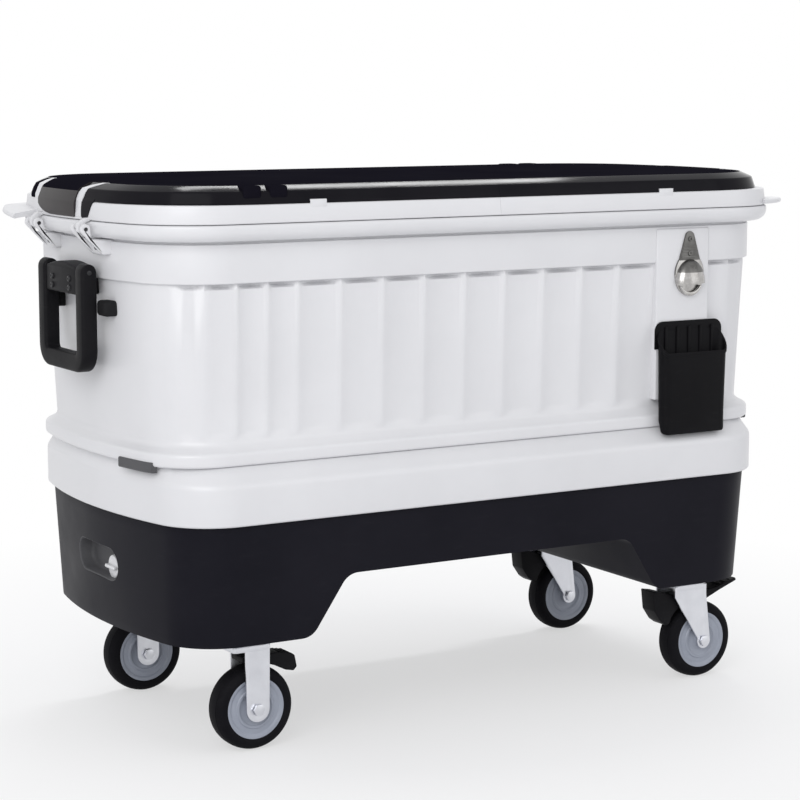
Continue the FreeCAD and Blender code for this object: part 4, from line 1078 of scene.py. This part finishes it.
def makeBin():
    bm = bmesh.new()
    middle = capBin["x"]

    def binRing(half, front, rear, corner, frontHeight, rearHeight):
        ring = []
        for x, y in roundedRect(half, (rear - front) / 2, corner, 5, (0, (front + rear) / 2)):
            share = (y - front) / (rear - front)
            narrow = 1 - capBin["taper"] * (1 - share) / half
            ring.append(Vector((middle + x * narrow, y, frontHeight + (rearHeight - frontHeight) * share)))
        return ring
    raiseRings(bm, [binRing(*values) for values in binRings])
    half, curve = capBin["backHalf"], capBin["backRadius"]
    top = capBin["back"] - curve
    back = [(middle - half, capBin["backLow"]), (middle + half, capBin["backLow"])]
    back += arcPoints((middle + half - curve, top), curve, 0, 90, 6)
    back += arcPoints((middle - half + curve, top), curve, 90, 180, 6)
    rear = capBin["rear"]
    addPrism(bm, back, "y", rear - capBin["backThick"], rear, 0.9)
    for rib in range(-2, 3):
        addBlock(bm, span(middle + rib * capBin["ribStep"], capBin["ribHalf"]),
                 (rear - capBin["ribProud"], rear - capBin["ribRoot"]), capBin["ribZ"], 1.4)
    for shift in both(capBin["hookX"]):
        addBlock(bm, span(middle + shift, capBin["hookHalf"]), (rear - 1, capBin["hookReach"]),
                 capBin["hookZ"], 1.2)
    finishPiece("capBin", bm, "binBlack", "bin", crease=40)


makeBin()
print("opener and cap bin made")

# Swivel casters: plate and race, fork, axle, hub, tyre and brake pedal at each corner
casterNames = ("front_left", "rear_left", "front_right", "rear_right")
caster = {"plate": (50, 42), "plateCorner": 8, "plateLow": 178, "plateHigh": 182,
          "axleZ": 67, "axleReach": 32.4, "headOut": 33, "headRadius": 10,
          "cheekIn": 24, "cheekOut": 28, "cheekLow": 150, "cheekHigh": 168, "cheekRim": 6, "cheekArea": 1500,
          "crownHalf": 33, "crownShift": 3, "crownCorner": 7, "crownLow": 160, "crownHigh": 169.7,
          "pedalHalf": 18, "ridgeHalf": 14, "ridgeThick": 1.6, "ridgeHigh": 1.2, "ridgeRoot": 4,
          "boltX": 38, "boltY": 30, "boltRadius": 7, "boltHead": (173, 178), "boltNut": (186, 192)}
forkLegs = {"left": {"axleX": 12, "boss": 20, "edges": (-9, 33), "arc": (0, -180)},
            "right": {"axleX": 34, "boss": 14, "edges": (-30, 38), "arc": (12, -200)}}
casterParts = {"CasterPlate": ("zincSteel", None), "CasterFork": ("zincSteel", "_swivel"),
               "WheelAxle": ("zincSteel", "_swivel"), "WheelHub": ("hubGrey", "_wheel"),
               "WheelTyre": ("tyreRubber", "_wheel"), "BrakePedal": ("handleBlack", "_brake")}
# turned profiles: radius, place along the axis
raceProfile = ((0, 178.5), (24, 178.5), (27, 177), (28, 174), (27, 171.2), (24, 170), (20, 170), (19, 171),
               (8, 171), (8, 159), (12, 158.6), (12, 155.6), (11, 155), (0, 155))
seatProfile = ((9, 164), (25, 169.7), (26, 169), (26, 166), (9, 160.5))
boltProfile = ((0, 176), (4, 176), (4, 191), (3, 192), (0, 192))
hubProfile = ((6.3, 22), (11.5, 22), (13, 21), (14.2, 18), (18, 16.5), (25.4, 16.5), (27.5, 17.6),
              (28.5, 18.8), (31.7, 19), (33.3, 17.4), (41.2, 17), (43.3, 18.6), (46, 19.6), (48.6, 19.6))
tyreProfile = ((48.4, 19.4), (50.2, 20.6), (54, 21), (58.2, 20.4), (62, 18.4), (64.4, 15.4), (65.8, 12),
               (65.3, 11.5), (65.3, 10.8), (66.1, 10.4), (66.8, 6), (67, 0.4))
pedalOutlines = {       # from the swivel axis and the floor
    "left": ((-10, 141), (28, 139), (32, 135.5), (46, 131), (66, 121), (80, 118), (86, 124), (82, 143),
             (76, 147), (50, 151), (-10, 149.5)),
    "right": ((-70, 163), (-66, 128), (-52, 108), (-40, 100), (-33, 103), (-30, 112), (-22, 122), (0, 137),
              (28, 140), (32, 137.5), (46, 138), (50, 140), (74, 150), (112, 164), (110, 169), (70, 157),
              (40, 152.5), (-20, 150), (-52, 160)),
}
pedalRidges = {"left": ((58, 149.6), (65, 148.5), (72, 147.4)),
               "right": ((80, 159.6), (90, 162.6), (100, 165.6))}


def addWheelPart(bm, profile, centre, steps):
    # a ring of revolution, the same on both faces of the wheel
    other = tuple((radius, -along) for radius, along in reversed(profile))
    addLathe(bm, profile + other + profile[:1], centre, (0, 1, 0), steps)


def addFork(bm, leg, x, y):
    crown = roundedRect(caster["crownHalf"], caster["cheekOut"], caster["crownCorner"], 4,
                        (x + caster["crownShift"], y))
    addPrism(bm, crown, "z", caster["crownLow"], caster["crownHigh"], 1.6)
    addLathe(bm, seatProfile, (x, y, 0), (0, 0, 1), 40)
    lead, tail = leg["edges"]
    cheek = [(x + lead, caster["cheekLow"]), (x + lead, caster["cheekHigh"]),
             (x + tail, caster["cheekHigh"]), (x + tail, caster["cheekLow"])]
    cheek += arcPoints((x + leg["axleX"], caster["axleZ"]), leg["boss"], *leg["arc"], 14)
    for face in (-1, 1):
        outside = y + face * caster["cheekOut"]
        addPrism(bm, cheek, "y", *sorted((y + face * caster["cheekIn"], outside)), 1.1)
        # the outer face of each cheek is pressed in a little
        broad = [part for part in bm.faces
                 if abs(part.normal.y) > 0.99 and part.calc_area() > caster["cheekArea"]
                 and abs(part.calc_center_median().y - outside) < 0.1]
        bmesh.ops.inset_region(bm, faces=broad, thickness=caster["cheekRim"], depth=-1.0,
                               use_even_offset=True)


def addAxle(bm, centre):
    x, y, z = centre
    reach = caster["axleReach"]
    profile = ((0, -reach), (4, -reach), (6, 1 - reach), (6, reach - 1), (4, reach), (0, reach))
    addLathe(bm, profile, centre, (0, 1, 0), 24)
    for face in (-1, 1):
        ends = sorted((y + face * caster["cheekOut"], y + face * caster["headOut"]))
        addHexHead(bm, (x, z), caster["headRadius"], *ends, "y")


def addPedal(bm, end, x, y):
    outline = [(x + alongX, z) for alongX, z in pedalOutlines[end]]
    addPrism(bm, outline, "y", *span(y, caster["pedalHalf"]), 1.8, 3, 20)
    for alongX, z in pedalRidges[end]:
        addBlock(bm, span(x + alongX, caster["ridgeThick"]), span(y, caster["ridgeHalf"]),
                 (z - caster["ridgeRoot"], z + caster["ridgeHigh"]), 0.8)


def addBolts(bm, x, y):
    for alongX in both(caster["boltX"]):
        for alongY in both(caster["boltY"]):
            spot = (x + alongX, y + alongY)
            for ends in (caster["boltHead"], caster["boltNut"]):
                addHexHead(bm, spot, caster["boltRadius"], *ends)
            addLathe(bm, boltProfile, (*spot, 0), (0, 0, 1), 16)


def makeCaster(name, x, y):
    stem = name.replace("_l", "L").replace("_r", "R")
    end = name.split("_")[1]
    leg = forkLegs[end]
    centre = (x + leg["axleX"], y, caster["axleZ"])
    parts = {title: bmesh.new() for title in casterParts}
    plateOutline = roundedRect(*caster["plate"], caster["plateCorner"], 4, (x, y))
    addPrism(parts["CasterPlate"], plateOutline, "z", caster["plateLow"], caster["plateHigh"], 0.8)
    addLathe(parts["CasterPlate"], raceProfile, (x, y, 0), (0, 0, 1), 40)
    addFork(parts["CasterFork"], leg, x, y)
    addAxle(parts["WheelAxle"], centre)
    addWheelPart(parts["WheelHub"], hubProfile, centre, 56)
    addWheelPart(parts["WheelTyre"], tyreProfile, centre, 72)
    addPedal(parts["BrakePedal"], end, x, y)
    for title, (finish, body) in casterParts.items():
        finishPiece(stem + title, parts[title], finish, name + body if body else "chassis")


bolts = bmesh.new()
for name in casterNames:
    low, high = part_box(name + "_caster_plate")
    middle = (low + high) / 2 / mm
    makeCaster(name, middle.x, middle.y)
    addBolts(bolts, middle.x, middle.y)
finishPiece("casterBolts", bolts, "zincSteel")
print("casters made")

# Drain: a rounded scoop in the left end of the base, with a grey recess and the plug in it
drain = {"y": -35, "z": 274, "capFace": -557, "capBack": -542.3, "capRadius": 19, "stubRadius": 11.9,
         "stubEnd": -532, "wingFace": -563, "wingHalf": 18, "wingThick": 3, "wall": 2, "cutFrom": -620,
         "rim": ((1.9, 0.1), (1.1, 0.5), (0.4, 1.4), (0, 3)), "floor": ((0, -6), (-1.5, -2), (-6, 0))}


def slotOutline(grow):
    half = base["slotHalf"] + grow
    right = arcPoints((base["slotStraight"], base["slotZ"]), half, -90, 90, 12)
    left = arcPoints((-base["slotStraight"], base["slotZ"]), half, 90, 270, 12)
    return right + left


def cutSlot():
    bm = bmesh.new()
    addPrism(bm, slotOutline(drain["wall"]), "x", drain["cutFrom"], base["pocketX"] + drain["wall"], 0)
    cutter = finishPiece("slotCutter", bm, "baseBlack")
    modifier = baseMoulding.modifiers.new("slot", "BOOLEAN")
    modifier.object = cutter
    modifier.solver = "EXACT"
    bpy.context.view_layer.update()
    solved = baseMoulding.evaluated_get(bpy.context.evaluated_depsgraph_get())
    shaped = bpy.data.meshes.new_from_object(solved)
    baseMoulding.modifiers.clear()
    baseMoulding.data = shaped
    bpy.data.objects.remove(cutter)
    shaped.set_sharp_from_angle(angle=math.radians(32))


def slotRing(grow, depth):
    # a ring round the slot, at a depth behind the base's drafted and bowed end
    footX, rimX = base["footPlan"][0], base["rimPlan"][0]
    ring = []
    for y, z in slotOutline(grow):
        draft = (rimX - footX) * (z - base["foot"]) / (base["top"] - base["foot"])
        bow = bowRadius - math.sqrt(bowRadius ** 2 - y * y)
        ring.append(Vector((bow - footX - draft + depth, y, z)))
    return ring


def makeRecess():
    bm = bmesh.new()
    rings = [slotRing(grow, depth) for grow, depth in drain["rim"]]
    for grow, depth in drain["floor"]:
        rings.append([Vector((base["pocketX"] + depth, y, z)) for y, z in slotOutline(grow)])
    raiseRings(bm, rings, capFirst=False)
    finishPiece("drainRecess", bm, "recessGrey", crease=50)


def makePlug():
    bm = bmesh.new()
    radius, stub = drain["capRadius"], drain["stubRadius"]
    face, back, end = drain["capFace"], drain["capBack"], drain["stubEnd"]
    cap = ((0, face), (radius - 4, face), (radius - 1, face + 1), (radius, face + 4), (radius, back - 1),
           (radius - 1, back), (stub, back), (stub, end - 1), (10, end), (0, end))
    addLathe(bm, cap, (0, drain["y"], drain["z"]), (1, 0, 0), 48)
    addBlock(bm, (drain["wingFace"], face + 1), span(drain["y"], drain["wingHalf"]),
             span(drain["z"], drain["wingThick"]), 2.2, 3)
    finishPiece("drainPlug", bm, "whitePlastic", "plug")


cutSlot()
makeRecess()
makePlug()
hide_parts("leg_floors")
# the elbow keeps its solid and takes the white finish
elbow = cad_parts["drain_elbow"].data
elbow.materials.clear()
elbow.materials.append(finishes["whitePlastic"])
print("drain made")

# Camera at the photograph's viewing angle
view = {"place": (-1.9803, -3.3181, 1.0340), "target": (-0.00787, 0.00166, 0.4959),
        "lens": 103.3, "sensor": 36}


def aim(thing, target):
    facing = Vector(target) - thing.location
    thing.rotation_euler = facing.to_track_quat("-Z", "Y").to_euler()


camera = bpy.data.objects.new("camera", bpy.data.cameras.new("camera"))
camera.location = view["place"]
camera.data.lens = view["lens"]
camera.data.sensor_width = view["sensor"]
aim(camera, view["target"])
bpy.context.collection.objects.link(camera)
bpy.context.scene.camera = camera

# Soft studio light, a pale floor that keeps the shadow, and a white background
lamps = {
    "keySoftbox": {"place": (-2.8, -2.8, 2.4), "target": (0, 0, 0.45), "size": (2.6, 2.6), "power": 70},
    "fillSoftbox": {"place": (2.2, -3.4, 1.8), "target": (0, 0, 0.45), "size": (2.4, 2.4), "power": 12},
    "shoulderStrip": {"place": (0.97, 1.42, 2.9), "target": (0.97, -0.27, 0.87),
                      "size": (1.95, 0.24), "power": 30},
}


def makeLamp(name, values):
    light = bpy.data.lights.new(name, "AREA")
    light.shape = "RECTANGLE"
    light.size, light.size_y = values["size"]
    light.energy = values["power"]
    lamp = bpy.data.objects.new(name, light)
    lamp.location = values["place"]
    aim(lamp, values["target"])
    lamp.visible_camera = False
    bpy.context.collection.objects.link(lamp)


for name, values in lamps.items():
    makeLamp(name, values)


def seenRays(tree):
    # 1 for rays that show the background: camera, glossy and transmission
    path = tree.nodes.new("ShaderNodeLightPath")
    total = addMath(tree, "MAXIMUM")
    link(path, "Is Camera Ray", total, 0)
    link(path, "Is Glossy Ray", total, 1)
    both = addMath(tree, "MAXIMUM")
    link(total, "Value", both, 0)
    link(path, "Is Transmission Ray", both, 1)
    return both


studio = {"glow": (0.65, 0.655, 0.675), "floorSize": 12, "floorColour": (0.86, 0.86, 0.87),
          "floorRough": 0.9, "floorSpecular": 0.1, "fadeFrom": 0.5, "fadeBy": 1.5, "fadeLeast": 0.56}


def makeWorld():
    world = bpy.data.worlds.new("studio")
    world.use_nodes = True
    tree = world.node_tree
    glow = tree.nodes["Background"]
    glow.inputs["Color"].default_value = (*studio["glow"], 1)
    white = tree.nodes.new("ShaderNodeBackground")
    white.inputs["Color"].default_value = (1, 1, 1, 1)
    mix = tree.nodes.new("ShaderNodeMixShader")
    link(seenRays(tree), "Value", mix, "Fac")
    link(glow, "Background", mix, 1)
    link(white, "Background", mix, 2)
    link(mix, "Shader", tree.nodes["World Output"], "Surface")
    bpy.context.scene.world = world


def makeFloor():
    bm = bmesh.new()
    bmesh.ops.create_grid(bm, x_segments=8, y_segments=8, size=studio["floorSize"])
    mesh = bpy.data.meshes.new("studioFloor")
    bm.to_mesh(mesh)
    bm.free()
    floor = bpy.data.objects.new("studioFloor", mesh)
    bpy.context.collection.objects.link(floor)
    paint = bpy.data.materials.new("floorPaint")
    paint.use_nodes = True
    tree = paint.node_tree
    shader = tree.nodes["Principled BSDF"]
    shader.inputs["Base Color"].default_value = (*studio["floorColour"], 1)
    shader.inputs["Roughness"].default_value = studio["floorRough"]
    shader.inputs["Specular IOR Level"].default_value = studio["floorSpecular"]
    place = tree.nodes.new("ShaderNodeTexCoord")
    reach = tree.nodes.new("ShaderNodeVectorMath")
    reach.operation = "LENGTH"
    link(place, "Object", reach, 0)
    # the shadow fades into the white background
    fade = addRange(tree, studio["fadeFrom"], studio["fadeBy"], studio["fadeLeast"], 1.0)
    link(reach, "Value", fade, "Value")
    factor = addMath(tree, "MULTIPLY")
    link(seenRays(tree), "Value", factor, 0)
    link(fade, "Result", factor, 1)
    white = tree.nodes.new("ShaderNodeEmission")
    white.inputs["Color"].default_value = (1, 1, 1, 1)
    mix = tree.nodes.new("ShaderNodeMixShader")
    link(factor, "Value", mix, "Fac")
    link(shader, "BSDF", mix, 1)
    link(white, "Emission", mix, 2)
    link(mix, "Shader", tree.nodes["Material Output"], "Surface")
    mesh.materials.append(paint)


makeWorld()
makeFloor()
bpy.context.scene.view_settings.view_transform = "Standard"
